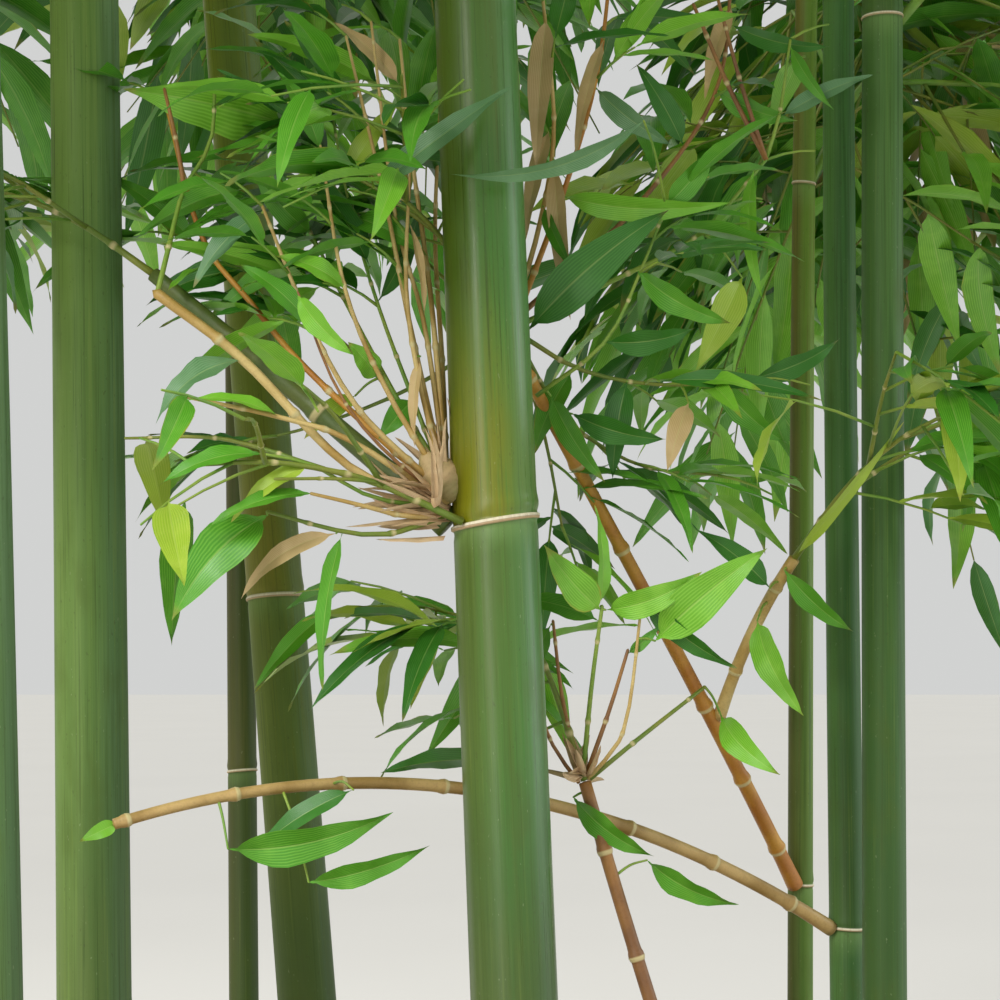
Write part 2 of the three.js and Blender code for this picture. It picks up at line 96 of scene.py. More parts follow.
def heading(azimuth_deg: float, rise_deg: float) -> Array:
    """Return the unit vector at an azimuth from +X and a rise above level, in degrees."""
    turn, rise = math.radians(azimuth_deg), math.radians(rise_deg)
    return np.array(
        [math.cos(rise) * math.cos(turn), math.cos(rise) * math.sin(turn), math.sin(rise)]
    )


def colour(code: str) -> Colour:
    """Turn a six-digit screen colour into the linear colour that a shader takes.

    Args:
        code: Red, green and blue as hexadecimal digits.

    Returns:
        The colour with full alpha.
    """
    parts = [int(code[i : i + 2], 16) / 255 for i in (0, 2, 4)]
    linear = [p / 12.92 if p <= 0.04045 else ((p + 0.055) / 1.055) ** 2.4 for p in parts]
    return (*linear, 1.0)


def seen_from_front(across: float, up: float, depth: float = 0.0) -> Array:
    """Place a point where a viewer in front sees it.

    Args:
        across: X where the line of sight crosses the front culm's plane.
        up: Z where it crosses that plane.
        depth: How far behind that plane the point lies.

    Returns:
        The point, carried back along the line of sight.
    """
    on_plane = np.array([across, FRONT_PLANE, up])
    return EYE + (on_plane - EYE) * (1 + depth / (FRONT_PLANE - EYE[1]))


class Dice:
    """Repeatable random numbers, the same ones as the frame's solids are grown with."""

    RANGE, STEP, SPREAD = 2147483647, 16807, 7919

    def __init__(self, seed: int) -> None:
        """Start the sequence of a seed."""
        self.state = (seed * self.SPREAD) % self.RANGE

    def between(self, low: float, high: float) -> float:
        """Return the next number from low to high."""
        self.state = (self.state * self.STEP) % self.RANGE
        return low + (high - low) * self.state / self.RANGE


# Shaders


@dataclass(frozen=True)
class Wire:
    """A node's output, on which arithmetic adds Math nodes."""

    board: Board
    socket: Socket

    def maths(self, operation: str, first: object, second: object = 0.0) -> Wire:
        """Return a Math node's result for two numbers or wires."""
        return self.board.add("ShaderNodeMath", {"operation": operation}, {0: first, 1: second})

    def __add__(self, other: object) -> Wire:
        """Return self + other."""
        return self.maths("ADD", self, other)

    __radd__ = __add__

    def __mul__(self, other: object) -> Wire:
        """Return self * other."""
        return self.maths("MULTIPLY", self, other)

    __rmul__ = __mul__

    def __sub__(self, other: object) -> Wire:
        """Return self - other."""
        return self.maths("SUBTRACT", self, other)

    def __rsub__(self, other: object) -> Wire:
        """Return other - self."""
        return self.maths("SUBTRACT", other, self)

    def __pow__(self, other: object) -> Wire:
        """Return self to the power of other."""
        return self.maths("POWER", self, other)

    def size(self) -> Wire:
        """Return the absolute value."""
        return self.maths("ABSOLUTE", self)

    def sine(self) -> Wire:
        """Return the sine."""
        return self.maths("SINE", self)


class Board:
    """The node tree of one material."""

    def __init__(self, name: str) -> None:
        """Start an empty material.

        Args:
            name: The material's name.
        """
        self.material = bpy.data.materials.new(name)
        self.material.use_nodes = True
        self.tree = self.material.node_tree
        self.tree.nodes.clear()

    def add(self, kind: str, settings: dict, sockets: dict, output: int | str = 0) -> Wire:
        """Add a node.

        Args:
            kind: The node's type.
            settings: Its properties.
            sockets: The value, wire or colour's code of each input that isn't left as it is.
            output: Which output is returned.

        Returns:
            The wire of that output.
        """
        node = self.tree.nodes.new(kind)
        for key, value in settings.items():
            setattr(node, key, value)
        for key, value in sockets.items():
            if isinstance(value, Wire):
                self.tree.links.new(value.socket, node.inputs[key])
            else:
                node.inputs[key].default_value = colour(value) if isinstance(value, str) else value
        return Wire(self, node.outputs[output])

    def attribute(self, name: str) -> Wire:
        """Return a mesh attribute as a vector."""
        settings = {"attribute_type": "GEOMETRY", "attribute_name": name}
        return self.add("ShaderNodeAttribute", settings, {}, "Vector")

    def place(self) -> Wire:
        """Return the object coordinates."""
        return self.add("ShaderNodeTexCoord", {}, {}, "Object")

    def parts(self, vector: Wire) -> list[Wire]:
        """Return the three numbers of a vector."""
        first = self.add("ShaderNodeSeparateXYZ", {}, {0: vector})
        return [Wire(self, output) for output in first.socket.node.outputs]

    def stretched(self, vector: Wire, scale: Sequence[float]) -> Wire:
        """Return a vector with each number scaled."""
        settings = {"operation": "MULTIPLY"}
        return self.add("ShaderNodeVectorMath", settings, {0: vector, 1: tuple(scale)})

    def grainy(self, vector: Wire, scale: float, detail: float = 3.0, rough: float = 0.5) -> Wire:
        """Return noise from 0 to 1 at a vector."""
        sockets = {"Vector": vector, "Scale": scale, "Detail": detail, "Roughness": rough}
        return self.add("ShaderNodeTexNoise", {}, sockets, 0)

    def ranged(
        self, value: Wire, low: float, high: float, start: float = 0.0, end: float = 1.0
    ) -> Wire:
        """Return a value carried from one range to another, smoothly and within its ends."""
        sockets = {0: value, 1: low, 2: high, 3: start, 4: end}
        return self.add("ShaderNodeMapRange", {"interpolation_type": "SMOOTHSTEP"}, sockets)

    def blended(self, share: Wire, first: Wire | str, second: Wire | str, way: str = "MIX") -> Wire:
        """Return two colours, each a wire or a colour's code, mixed by a share."""
        settings = {"data_type": "RGBA", "blend_type": way}
        return self.add("ShaderNodeMix", settings, {0: share, 6: first, 7: second}, 2)

    def layered(self, skin: Wire | str, *layers: tuple[Wire, Wire | str]) -> Wire:
        """Lay colours over a first one in turn.

        Args:
            skin: The first colour.
            layers: The share and the colour of each layer.

        Returns:
            The colour that results.
        """
        for share, tint in layers:
            skin = self.blended(share, skin, tint)
        return skin

    def bumped(self, height: Wire, depth_mm: float, strength: float = 1.0) -> Wire:
        """Return the normal of a height field of that depth."""
        sockets = {"Strength": strength, "Distance": depth_mm * MM, "Height": height}
        return self.add("ShaderNodeBump", {}, sockets)

    def finished(
        self, base: Wire, roughness: Wire | float, normal: Wire | None = None,
        fixed: dict | None = None,
    ) -> Material:
        """Close the material with its surface shader.

        Args:
            base: Base colour.
            roughness: Roughness.
            normal: Bumped normal, if there is one.
            fixed: Values of other sockets, the same all over.

        Returns:
            The material.
        """
        sockets = {"Base Color": base, "Roughness": roughness, **(fixed or {})}
        if normal is not None:
            sockets["Normal"] = normal
        shader = self.add("ShaderNodeBsdfPrincipled", {}, sockets)
        out = self.tree.nodes.new("ShaderNodeOutputMaterial")
        self.tree.links.new(shader.socket, out.inputs["Surface"])
        return self.material


# Finishes


@dataclass(frozen=True)
class CulmFinish:
    """The skin of a culm: olive over its rings, waxy below them, and finely streaked along, with a
    painted sheen on its right side and painted shade low down and under each ring.
    """

    name: str
    high: str
    low: str
    # left is the culm's own yellower side; right is partly its own cooler side and partly a painted
    # bluish sheen along its right edge
    left: str
    right: str
    gold: str
    bloom: str = "7f9f5c"
    scar: str = "e8dfc4"
    gold_reach: float = 0.15
    gold_share: float = 0.5
    dull_and_shade_share: float = 0.75
    roughness: float = 0.52
    gloss: float = 0.3
    shade_share: float = 0.42

    def make(self) -> Material:
        """Make the material.

        Returns:
            The material.
        """
        board = Board(self.name)
        above, below, turn = board.parts(board.attribute("place"))
        height = board.parts(board.place())[2]
        grain = board.attribute("grain")
        scar, level, _ = board.parts(board.attribute("scar"))
        fine = board.grainy(board.stretched(grain, (900, 900, 8)), 1.0, 4.0, 0.6)
        streak = board.grainy(board.stretched(grain, (270, 270, 5)), 1.0, 3.0, 0.6)
        broad = board.grainy(board.stretched(grain, (120, 120, 4)), 1.0, 2.0)
        cloud = board.grainy(board.stretched(grain, (34, 34, 12)), 1.0, 4.0, 0.6)
        fleck = board.grainy(board.stretched(grain, (640, 640, 260)), 1.0, 2.0)
        drift = (broad - 0.5) * 0.5 + (cloud - 0.5) * 0.4
        near = board.ranged(above + (cloud - 0.5) * 0.1, 0.0, self.gold_reach, 1.0, 0.0)
        near = near * board.ranged(turn + drift, 0.05, 0.7, 1.0, 0.3)
        green = board.ranged(streak, 0.5, 0.66, 0.0, 0.62) * board.ranged(turn, -0.9, 0.4)
        # Darker and duller well below each ring: partly the culm's own duller skin, partly painted
        # shade
        dull_and_shade = board.ranged(below + (cloud - 0.5) * 0.1, 0.1, 0.25, 0.0, self.dull_and_shade_share)
        dull_and_shade = dull_and_shade * board.ranged(above + below, 0.33, 0.42, 1.0, 0.0)
        # Painted shade: darker from 1.3 m down to 0.76 m, standing for the shade that the foliage
        # casts on the culms' lower parts
        low_shade = board.ranged(height + (cloud - 0.5) * 0.2, 0.76, 1.3, self.shade_share, 0.0)
        wax = board.ranged(below + (cloud - 0.5) * 0.02, 0.0, 0.022, 0.4, 0.0)
        crack = board.ranged((level + 0.15 + (cloud - 0.5) * 0.8).size(), 0.0, 0.22, 0.7, 0.0)
        rim = board.layered(
            "c4a884",
            (board.ranged(level, -0.5, 0.2), self.scar),
            (board.ranged(fine, 0.3, 0.7, 0.0, 0.3), "a98a60"),
            (crack, "6b5236"),
        )
        skin = board.layered(
            self.low,
            (board.ranged(above, 0.0, 0.3), self.high),
            # Toward the left, the culm's own yellower side; toward the right, its cooler side
            # partly and a painted bluish sheen partly
            (board.ranged(turn + drift, -0.85, 0.1, 0.85, 0.0), self.left),
            (board.ranged(turn + drift, 0.1, 0.95, 0.0, 0.85), self.right),
            (near * self.gold_share, self.gold),
            (green, self.low),
            (board.ranged(streak, 0.46, 0.3, 0.0, 0.5), self.left),
            (dull_and_shade, "3b5424"),
            (low_shade, "2c4a1e"),
            (wax, self.bloom),
            (board.ranged(fine, 0.55, 0.78, 0.0, 0.2), "8fa048"),
            (board.ranged(fine, 0.47, 0.27, 0.0, 0.62), "33480f"),
            (board.ranged(cloud, 0.52, 0.7, 0.0, 0.36), "4a5c1a"),
            (board.ranged(fleck, 0.71, 0.76, 0.0, 0.16), "c3cba4"),
            (board.ranged(fleck, 0.32, 0.27, 0.0, 0.3), "3c3a1c"),
            # Painted shadow: a thin dark band just under each ring's sheath scar
            (board.ranged(below, 0.0, 0.003, 0.6, 0.0) * (1 - scar), "2b3313"),
            (scar, rim),
        )
        rough = self.roughness + (fine - 0.5) * 0.25 + (cloud - 0.5) * 0.3 + wax * 0.3 + scar * 0.3
        normal = board.bumped(fine + fleck * 0.25, 0.22, 0.3)
        return board.finished(skin, rough, normal, {"Specular IOR Level": self.gloss})


@dataclass(frozen=True)
class BranchFinish:
    """The skin of a thin branch: streaked, with darker patches and pale rings."""

    name: str
    main: str
    patch: str
    ring: str = "d2c48e"
    roughness: float = 0.5

    def make(self) -> Material:
        """Make the material.

        Returns:
            The material.
        """
        board = Board(self.name)
        place = board.place()
        patch = board.ranged(board.grainy(place, 34.0, 3.0), 0.36, 0.66)
        streak = board.grainy(place, 420.0, 3.0, 0.6)
        skin = board.blended(patch, self.main, self.patch)
        skin = board.blended((streak - 0.5).size() * 0.8, skin, "6e5a32", "MULTIPLY")
        ring = board.parts(board.attribute("scar"))[0]
        skin = board.blended(ring * 0.85, skin, self.ring)
        rough = self.roughness + (streak - 0.5) * 0.3
        return board.finished(skin, rough, board.bumped(streak, 0.15, 0.4))


@dataclass(frozen=True)
class BladeFinish:
    """A leaf seen close: fine veins along it, a pale midrib and a browned tip."""

    name: str
    main: str
    vein: str
    tip: str = "a08a3e"
    edge: str = "c08a34"
    tip_share: float = 0.5

    def make(self) -> Material:
        """Make the material.

        Returns:
            The material.
        """
        board = Board(self.name)
        across, along, chance = board.parts(board.attribute("blade"))
        mottle = board.grainy(board.place(), 60.0, 3.0)
        veins = ((across * 44.0).sine() * 0.5 + 0.5) ** 1.4
        edge = board.ranged(across.size() + chance * 0.6 + (mottle - 0.5) * 0.5, 1.46, 1.68)
        worn = board.ranged(along + (mottle - 0.5) * 0.12 + chance * 0.16, 1.0, 1.08)
        skin = board.layered(
            self.main,
            (veins * 0.5, self.vein),
            (board.ranged(mottle, 0.45, 0.75, 0.0, 0.35), self.vein),
            (board.ranged(across.size(), 0.0, 0.07, 0.24, 0.0), "c4d27e"),
            (edge * self.tip_share, self.edge),
            (worn * self.tip_share, self.tip),
        )
        rough = 0.42 + (mottle - 0.5) * 0.25
        return board.finished(skin, rough, board.bumped(veins, 0.12, 0.5))


@dataclass(frozen=True)
class FoliageFinish:
    """A plain leaf tone of the crown, with a slow drift of light and dark through it."""

    name: str
    main: str
    other: str

    def make(self) -> Material:
        """Make the material.

        Returns:
            The material.
        """
        board = Board(self.name)
        drift = board.ranged(board.grainy(board.place(), 5.0, 2.0), 0.35, 0.65)
        skin = board.blended(drift, self.main, self.other)
        return board.finished(skin, 0.5)


@dataclass(frozen=True)
class PaperFinish:
    """Dry sheath: papery tan with fibres along it, and painted shade toward its root."""

    name: str = "dry sheath"
    pale: str = "e8d4aa"
    dark: str = "c8a074"

    def make(self) -> Material:
        """Make the material.

        Returns:
            The material.
        """
        board = Board(self.name)
        across, along, _ = board.parts(board.attribute("blade"))
        mottle = board.grainy(board.place(), 150.0, 3.0)
        fibre = (across * 26.0).sine() * 0.5 + 0.5
        skin = board.layered(
            self.pale,
            (mottle, self.dark),
            (fibre * 0.3, "96703f"),
            # Painted shade: darker toward each stub's root, where the stubs crowd together at their
            # foot
            (board.ranged(along, 0.0, 0.2, 0.4, 0.0), "96683e"),
        )
        return board.finished(skin, 0.75, board.bumped(fibre, 0.2, 0.6))


@dataclass(frozen=True)
class TerracottaFinish:
    """Fired clay with turning marks, mineral bloom and damp stains."""

    name: str = "terracotta"
    clay: str = "b2643f"
    pale: str = "cf9a76"
    damp: str = "7c412a"

    def make(self) -> Material:
        """Make the material.

        Returns:
            The material.
        """
        board = Board(self.name)
        place = board.place()
        height = board.parts(place)[2]
        cloud = board.grainy(place, 7.0, 4.0)
        grit = board.grainy(place, 420.0, 3.0)
        turned = board.grainy(board.stretched(place, (1.5, 1.5, 160.0)), 1.0, 2.0)
        skin = board.layered(
            self.clay,
            (board.ranged(cloud, 0.4, 0.7), "a65733"),
            (board.ranged(height + (cloud - 0.5) * 0.28, 0.05, 0.2, 0.5, 0.0), self.pale),
            (board.ranged(height + (cloud - 0.5) * 0.1, 0.47, 0.505, 0.0, 0.45), self.pale),
            (board.ranged(board.grainy(place, 3.4, 5.0, 0.6), 0.56, 0.7, 0.0, 0.5), self.damp),
        )
        skin = board.blended((grit - 0.5).size() * 1.2, skin, "6b3a26", "MULTIPLY")
        rough = 0.82 + (grit - 0.5) * 0.2
        return board.finished(skin, rough, board.bumped(turned + grit * 0.5, 0.9, 0.7))


@dataclass(frozen=True)
class SoilFinish:
    """Dark potting soil with pale bits."""

    name: str = "potting soil"
    main: str = "3a2a1c"
    dry: str = "6a5136"

    def make(self) -> Material:
        """Make the material.

        Returns:
            The material.
        """
        board = Board(self.name)
        place = board.place()
        crumb = board.grainy(place, 160.0, 4.0, 0.65)
        bits = board.grainy(place, 260.0, 1.0)
        patch = board.grainy(place, 12.0, 3.0)
        skin = board.layered(
            self.main,
            (board.ranged(patch, 0.4, 0.7), self.dry),
            (board.ranged(crumb, 0.3, 0.6, 0.8, 0.0), "1d140d"),
            (board.ranged(bits, 0.68, 0.72), "a88f66"),
        )
        return board.finished(skin, 0.95, board.bumped(crumb, 3.0, 0.8))


@dataclass(frozen=True)
class FloorFinish:
    """The plain pale floor."""

    name: str = "pale floor"
    tint: str = "d2d0ca"

    def make(self) -> Material:
        """Make the material.

        Returns:
            The material.
        """
        board = Board(self.name)
        drift = board.grainy(board.place(), 0.6, 2.0)
        skin = board.blended(drift, self.tint, "cdcbc5")
        return board.finished(skin, 0.9)


class Tone(Enum):
    """The tones that leaves are dealt, each with its near and far finishes' colours."""

    # BRIGHT and DARK are partly the leaves' own spread of tone and partly painted light and shade
    # on the same green
    BRIGHT = ("69ae20", "86c038", "a0d850")
    MID = ("458e18", "569c24", "7cba3e")
    YELLOW = ("93b52c", "a5bc3e", "bccb5a")
    DARK = ("2a6b12", "357620", "4a8a30")
    # A grey-green leaf tone with a painted bluish sheen in it
    BLUE = ("4f804a", "5f9056", "86aa80")
    DRIED = ("c4a46c", "d0b27c", "e2cc9c")

    @property
    def blade(self) -> BladeFinish:
        """The finish of a leaf of this tone that is seen close."""
        return BladeFinish(f"blade {self.name.lower()}", self.value[0], self.value[2])

    @property
    def foliage(self) -> FoliageFinish:
        """The finish of the crown's leaves of this tone."""
        return FoliageFinish(f"foliage {self.name.lower()}", self.value[0], self.value[1])


class Wood(Enum):
    """The skins of branches and twigs."""

    OLIVE = ("6c842f", "888c34")
    MOSS = ("4f642c", "5f6a2c")
    STRAW = ("d4ba78", "b4924c")
    TAN = ("c6a66a", "a08046")
    ORANGE = ("cc963a", "b4742c")
    GREEN = ("6f9a35", "8ea63e")
    BROWN = ("a2733c", "7e5632")

    @property
    def finish(self) -> BranchFinish:
        """The finish of this skin."""
        return BranchFinish(f"branch {self.name.lower()}", *self.value)


# Meshes


def show(mesh: Mesh, finish: Material, nodes: Iterable[str] = ()) -> Piece:
    """Put a finished mesh into the scene as one piece.

    Args:
        mesh: The mesh, in metres and in place. The piece takes its name.
        finish: Its material.
        nodes: The frame's nodes that the piece stands for.

    Returns:
        The piece.
    """
    piece = bpy.data.objects.new(mesh.name, mesh)
    bpy.context.scene.collection.objects.link(piece)
    mesh.materials.append(finish)
    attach(piece, "root")
    if nodes:
        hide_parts(*nodes)
    LOG.info("%s: %d triangles", mesh.name, len(mesh.loops) - 2 * len(mesh.polygons))
    return piece


def set_attribute(mesh: Mesh, name: str, values: Array) -> None:
    """Store a vector for each vertex of a mesh."""
    layer = mesh.attributes.new(name, "FLOAT_VECTOR", "POINT")
    layer.data.foreach_set("vector", np.asarray(values, np.float32).ravel())


def mesh_from_arrays(name: str, places: Array, faces: Array) -> Mesh:
    """Make one smooth mesh of many small triangles.

    Args:
        name: The mesh's name.
        places: Vertices in millimetres.
        faces: Three vertex numbers for each triangle.

    Returns:
        The mesh, in metres.
    """
    mesh = bpy.data.meshes.new(name)
    mesh.vertices.add(len(places))
    mesh.vertices.foreach_set("co", (np.asarray(places, float) * MM).astype(np.float32).ravel())
    mesh.loops.add(faces.size)
    mesh.loops.foreach_set("vertex_index", faces.astype(np.int32).ravel())
    mesh.polygons.add(len(faces))
    mesh.polygons.foreach_set("loop_start", np.arange(0, faces.size, 3, dtype=np.int32))
    mesh.polygons.foreach_set("use_smooth", np.ones(len(faces), bool))
    mesh.update(calc_edges=True)
    return mesh


@dataclass
class Spine:
    """A smooth line that a straight limb is bent to."""

    lengths: Array
    points: Array
    square: Array | None = None

    @staticmethod
    def through(points: Array) -> Spine:
        """Return the spine along closely spaced points."""
        steps = np.linalg.norm(np.diff(points, axis=0), axis=1)
        return Spine(np.concatenate([[0.0], np.cumsum(steps)]), points)

    def at(self, length: Array) -> Array:
        """Return the points at lengths along the line."""
        return np.stack([np.interp(length, self.lengths, self.points[:, k]) for k in range(3)], -1)

    def bend(self, local: Array) -> Array:
        """Carry points round the Z axis to the same places round the line.

        Args:
            local: Points round the Z axis, with their length along the line as Z.

        Returns:
            The bent points.
        """
        slopes = unit(np.gradient(self.points, axis=0))
        run = self.points[-1] - self.points[0]
        square = np.eye(3)[np.argmin(np.abs(run))] if self.square is None else self.square
        tangent = np.stack(
            [np.interp(local[:, 2], self.lengths, slopes[:, k]) for k in range(3)], -1
        )
        side = unit(np.cross(square, unit(tangent)))
        front = np.cross(unit(tangent), side)
        return self.at(local[:, 2]) + side * local[:, :1] + front * local[:, 1:2]


def turned(profile: Sequence[tuple[float, float]], sides: int) -> bmesh.types.BMesh:
    """Spin a profile round the Z axis.

    Args:
        profile: Radius and height of each point, in order. The ends may lie on the axis.
        sides: How many faces go round.

    Returns:
        The closed mesh, faces outward.
    """
    form = bmesh.new()
    corners = [form.verts.new((radius, 0.0, height)) for radius, height in profile]
    edges = [form.edges.new(pair) for pair in zip(corners, corners[1:])]
    bmesh.ops.spin(
        form, geom=[*corners, *edges], axis=(0, 0, 1), cent=(0, 0, 0), dvec=(0, 0, 0),
        angle=math.tau, steps=sides, use_merge=True, use_duplicate=False,
    )
    bmesh.ops.remove_doubles(form, verts=form.verts, dist=1e-4)
    bmesh.ops.recalc_face_normals(form, faces=form.faces)
    return form


def settled(form: bmesh.types.BMesh, name: str) -> tuple[Mesh, Array]:
    """Turn a bmesh into a smooth mesh.

    Args:
        form: The bmesh, in millimetres, which is freed.
        name: The mesh's name.

    Returns:
        The mesh and its vertices.
    """
    for face in form.faces:
        face.smooth = True
    mesh = bpy.data.meshes.new(name)
    form.to_mesh(mesh)
    form.free()
    places = np.empty(len(mesh.vertices) * 3)
    mesh.vertices.foreach_get("co", places)
    return mesh, places.reshape(-1, 3)


def place_vertices(mesh: Mesh, places: Array) -> None:
    """Move a mesh's vertices to places in millimetres, as metres."""
    mesh.vertices.foreach_set("co", (places * MM).astype(np.float32).ravel())
    mesh.update()


@dataclass(frozen=True)
class BladeForm:
    """The outline of a leaf: its stations, their half widths as shares, and points across."""

    stations: tuple[float, ...]
    widths: tuple[float, ...]
    across: tuple[float, ...]

    def faces(self) -> Array:
        """Join one leaf's points, which go from its root by rows to its tip.

        Returns:
            Three point numbers for each triangle.
        """
        rows, columns = len(self.stations), len(self.across)
        last = 1 + rows * columns
        found = []
        for j in range(columns - 1):
            found.append((0, 1 + j + 1, 1 + j))
            end = 1 + (rows - 1) * columns + j
            found.append((last, end, end + 1))
            for i in range(rows - 1):
                a = 1 + i * columns + j
                b = a + columns
                found += [(a, a + 1, b + 1), (a, b + 1, b)]
        return np.array(found)


FIVE_ACROSS = (-1.0, -0.5, 0.0, 0.5, 1.0)
SHEATH_BLADE = BladeForm(
    (0.04, 0.2, 0.4, 0.6, 0.8, 0.93), (0.85, 1.0, 0.95, 0.78, 0.5, 0.25), FIVE_ACROSS
)
FAR_BLADE = BladeForm((0.12, 0.36, 0.64, 0.86), (0.62, 1.0, 0.78, 0.36), (-1.0, 0.0, 1.0))
VIEW_BLADE = BladeForm(
    (0.04, 0.11, 0.22, 0.36, 0.52, 0.68, 0.82, 0.93),
    (0.14, 0.5, 0.84, 1.0, 0.95, 0.75, 0.46, 0.18),
    FIVE_ACROSS,
)
NEAR_BLADE = BladeForm(
    (0.03, 0.06, 0.1, 0.16, 0.24, 0.33, 0.43, 0.53, 0.63, 0.73, 0.82, 0.9, 0.96),
    (0.07, 0.12, 0.44, 0.74, 0.93, 1.0, 0.97, 0.88, 0.75, 0.58, 0.4, 0.22, 0.08),
    (-1.0, -0.55, -0.06, 0.0, 0.06, 0.55, 1.0),
)


@dataclass
class Blades:
    """Leaves that are joined as one piece."""

    form: BladeForm
    rows: list[tuple] = field(default_factory=list)

    WAVES, RIPPLE = 17, 0.05

    def add(
        self, root: Array, tip: Array, face: Array, width: float, arch: float,
        sweep: float, fold: float, chance: float,
    ) -> None:
        """Add a leaf.

        Args:
            root: Where it leaves its twig.
            tip: Its point.
            face: The way that its upper side faces, roughly.
            width: Its full width.
            arch: How far its middle stands up toward that side.
            sweep: How far its middle swings sideways.
            fold: How much its edges rise from the midrib, as a share of their distance from it.
            chance: A number from 0 to 1 that varies its edges and its tip.
        """
        self.rows.append((*root, *tip, *face, width, arch, sweep, fold, chance))

    def mesh(self, name: str) -> Mesh:
        """Join the leaves, each with its arch, sweep, fold and a slight ripple.

        Args:
            name: The mesh's name.

        Returns:
            All the leaves as one mesh.
        """
        data = np.array(self.rows)
        root, tip, face = data[:, 0:3], data[:, 3:6], data[:, 6:9]
        width, arch, sweep, fold, chance = (data[:, k][:, None, None] for k in range(9, 14))
        run = tip - root
        forward = unit(run)
        side = unit(np.cross(forward, face) + 1e-9)
        normal = np.cross(side, forward)
        stations, across = self.form.stations, self.form.across
        along = np.array([0.0, *np.repeat(stations, len(across)), 1.0])[None, :, None]
        aside = np.array([0.0, *np.tile(across, len(stations)), 0.0])[None, :, None]
        half = np.array([0.0, *np.outer(self.form.widths, across).ravel(), 0.0])[None, :, None]
        bulge = 4 * along * (1 - along)
        wave = np.sin(along * self.WAVES + chance * 40) * np.abs(aside) * self.RIPPLE * width
        lift = arch * bulge + np.abs(half) * width * 0.5 * fold
        lift = lift + wave * np.sign(aside) * (along < 0.99)
        places = root[:, None, :] + run[:, None, :] * along
        places = places + side[:, None, :] * (half * width * 0.5 + sweep * bulge)
        places = places + normal[:, None, :] * lift
        starts = (np.arange(len(data)) * places.shape[1])[:, None, None]
        faces = self.form.faces()[None, :, :] + starts
        mesh = mesh_from_arrays(name, places.reshape(-1, 3), faces.reshape(-1, 3))
        if self.form is not FAR_BLADE:
            marks = np.concatenate(np.broadcast_arrays(aside, along, chance), axis=-1)
            set_attribute(mesh, "blade", marks.reshape(-1, 3))
        return mesh


@dataclass
class Twigs:
    """Thin round twigs that are joined as one piece."""

    sides: int
    places: list[Array] = field(default_factory=list)
    marks: list[Array] = field(default_factory=list)
    faces: list[Array] = field(default_factory=list)
    count: int = 0

    # The distance between plain sections, and a joint's sections: shift, swell and pale ring
    STEP = 14
    JOINT = ((-1.6, 1.0, 0), (-0.5, 1.12, 1), (0.3, 1.32, 1), (1.6, 1.22, 0), (3, 1, 0))

    def add(self, points: Array, radii: Array, rings: Array | None = None) -> None:
        """Add a twig.

        Args:
            points: Points along its middle.
            radii: Its radius at each.
            rings: How much of a ring's pale skin lies at each, from 0 to 1.
        """
        slopes = unit(np.gradient(points, axis=0))
        square = np.eye(3)[np.argmin(np.abs(points[-1] - points[0]))]
        side = unit(np.cross(square, slopes))
        front = np.cross(slopes, side)
        turns = (np.arange(self.sides) * math.tau / self.sides)[None, :, None]
        ring = side[:, None] * np.cos(turns) + front[:, None] * np.sin(turns)
        shell = points[:, None] + ring * radii[:, None, None]
        total = len(points) * self.sides
        first, last = self.count + total, self.count + total + 1
        index = self.count + np.arange(total).reshape(len(points), self.sides)
        after = np.roll(index, -1, axis=1)
        walls = [
            np.stack([index[:-1], after[:-1], after[1:]], -1).reshape(-1, 3),
            np.stack([index[:-1], after[1:], index[1:]], -1).reshape(-1, 3),
            np.stack([np.full(self.sides, first), after[0], index[0]], -1),
            np.stack([np.full(self.sides, last), index[-1], after[-1]], -1),
        ]
        self.places += [shell.reshape(-1, 3), points[:1], points[-1:] + slopes[-1:] * radii[-1]]
        level = np.zeros(len(points)) if rings is None else rings
        marks = np.concatenate([np.repeat(level, self.sides), [0.0, 0.0]])
        self.marks.append(np.stack([marks, marks, marks], -1))
        self.faces.append(np.concatenate(walls))
        self.count += total + 2

    def jointed(self, points: Array, start: float, end: float, pitch: float) -> None:
        """Add a twig with ringed joints.

        Args:
            points: A few points that it bends smoothly through.
            start: Its radius at the first.
            end: Its radius at the last.
            pitch: The distance from joint to joint.
        """
        line = Spine.through(smooth_line(points, 12))
        total = line.lengths[-1]
        joints = np.arange(pitch * 0.7, total - pitch * 0.25, pitch)
        lip = max(start * 0.7, 0.7)
        rows = [(0.0, 1.0, 0.0)]
        for joint in joints:
            plain = np.arange(rows[-1][0] + self.STEP, joint - 2.5 * lip, self.STEP)
            rows += [(length, 1.0, 0.0) for length in plain]
            rows += [(joint + shift * lip, swell, ring) for shift, swell, ring in self.JOINT]
        plain = np.arange(rows[-1][0] + self.STEP, total - 6, self.STEP)
        rows += [(length, 1.0, 0.0) for length in (*plain, total)]
        lengths, swells, rings = np.array(rows).T
        self.add(line.at(lengths), (start + (end - start) * lengths / total) * swells, rings)

    def mesh(self, name: str) -> Mesh:
        """Join the twigs.

        Args:
            name: The mesh's name.

        Returns:
            All the twigs as one mesh.
        """
        mesh = mesh_from_arrays(name, np.concatenate(self.places), np.concatenate(self.faces))
        set_attribute(mesh, "scar", np.concatenate(self.marks))
        return mesh


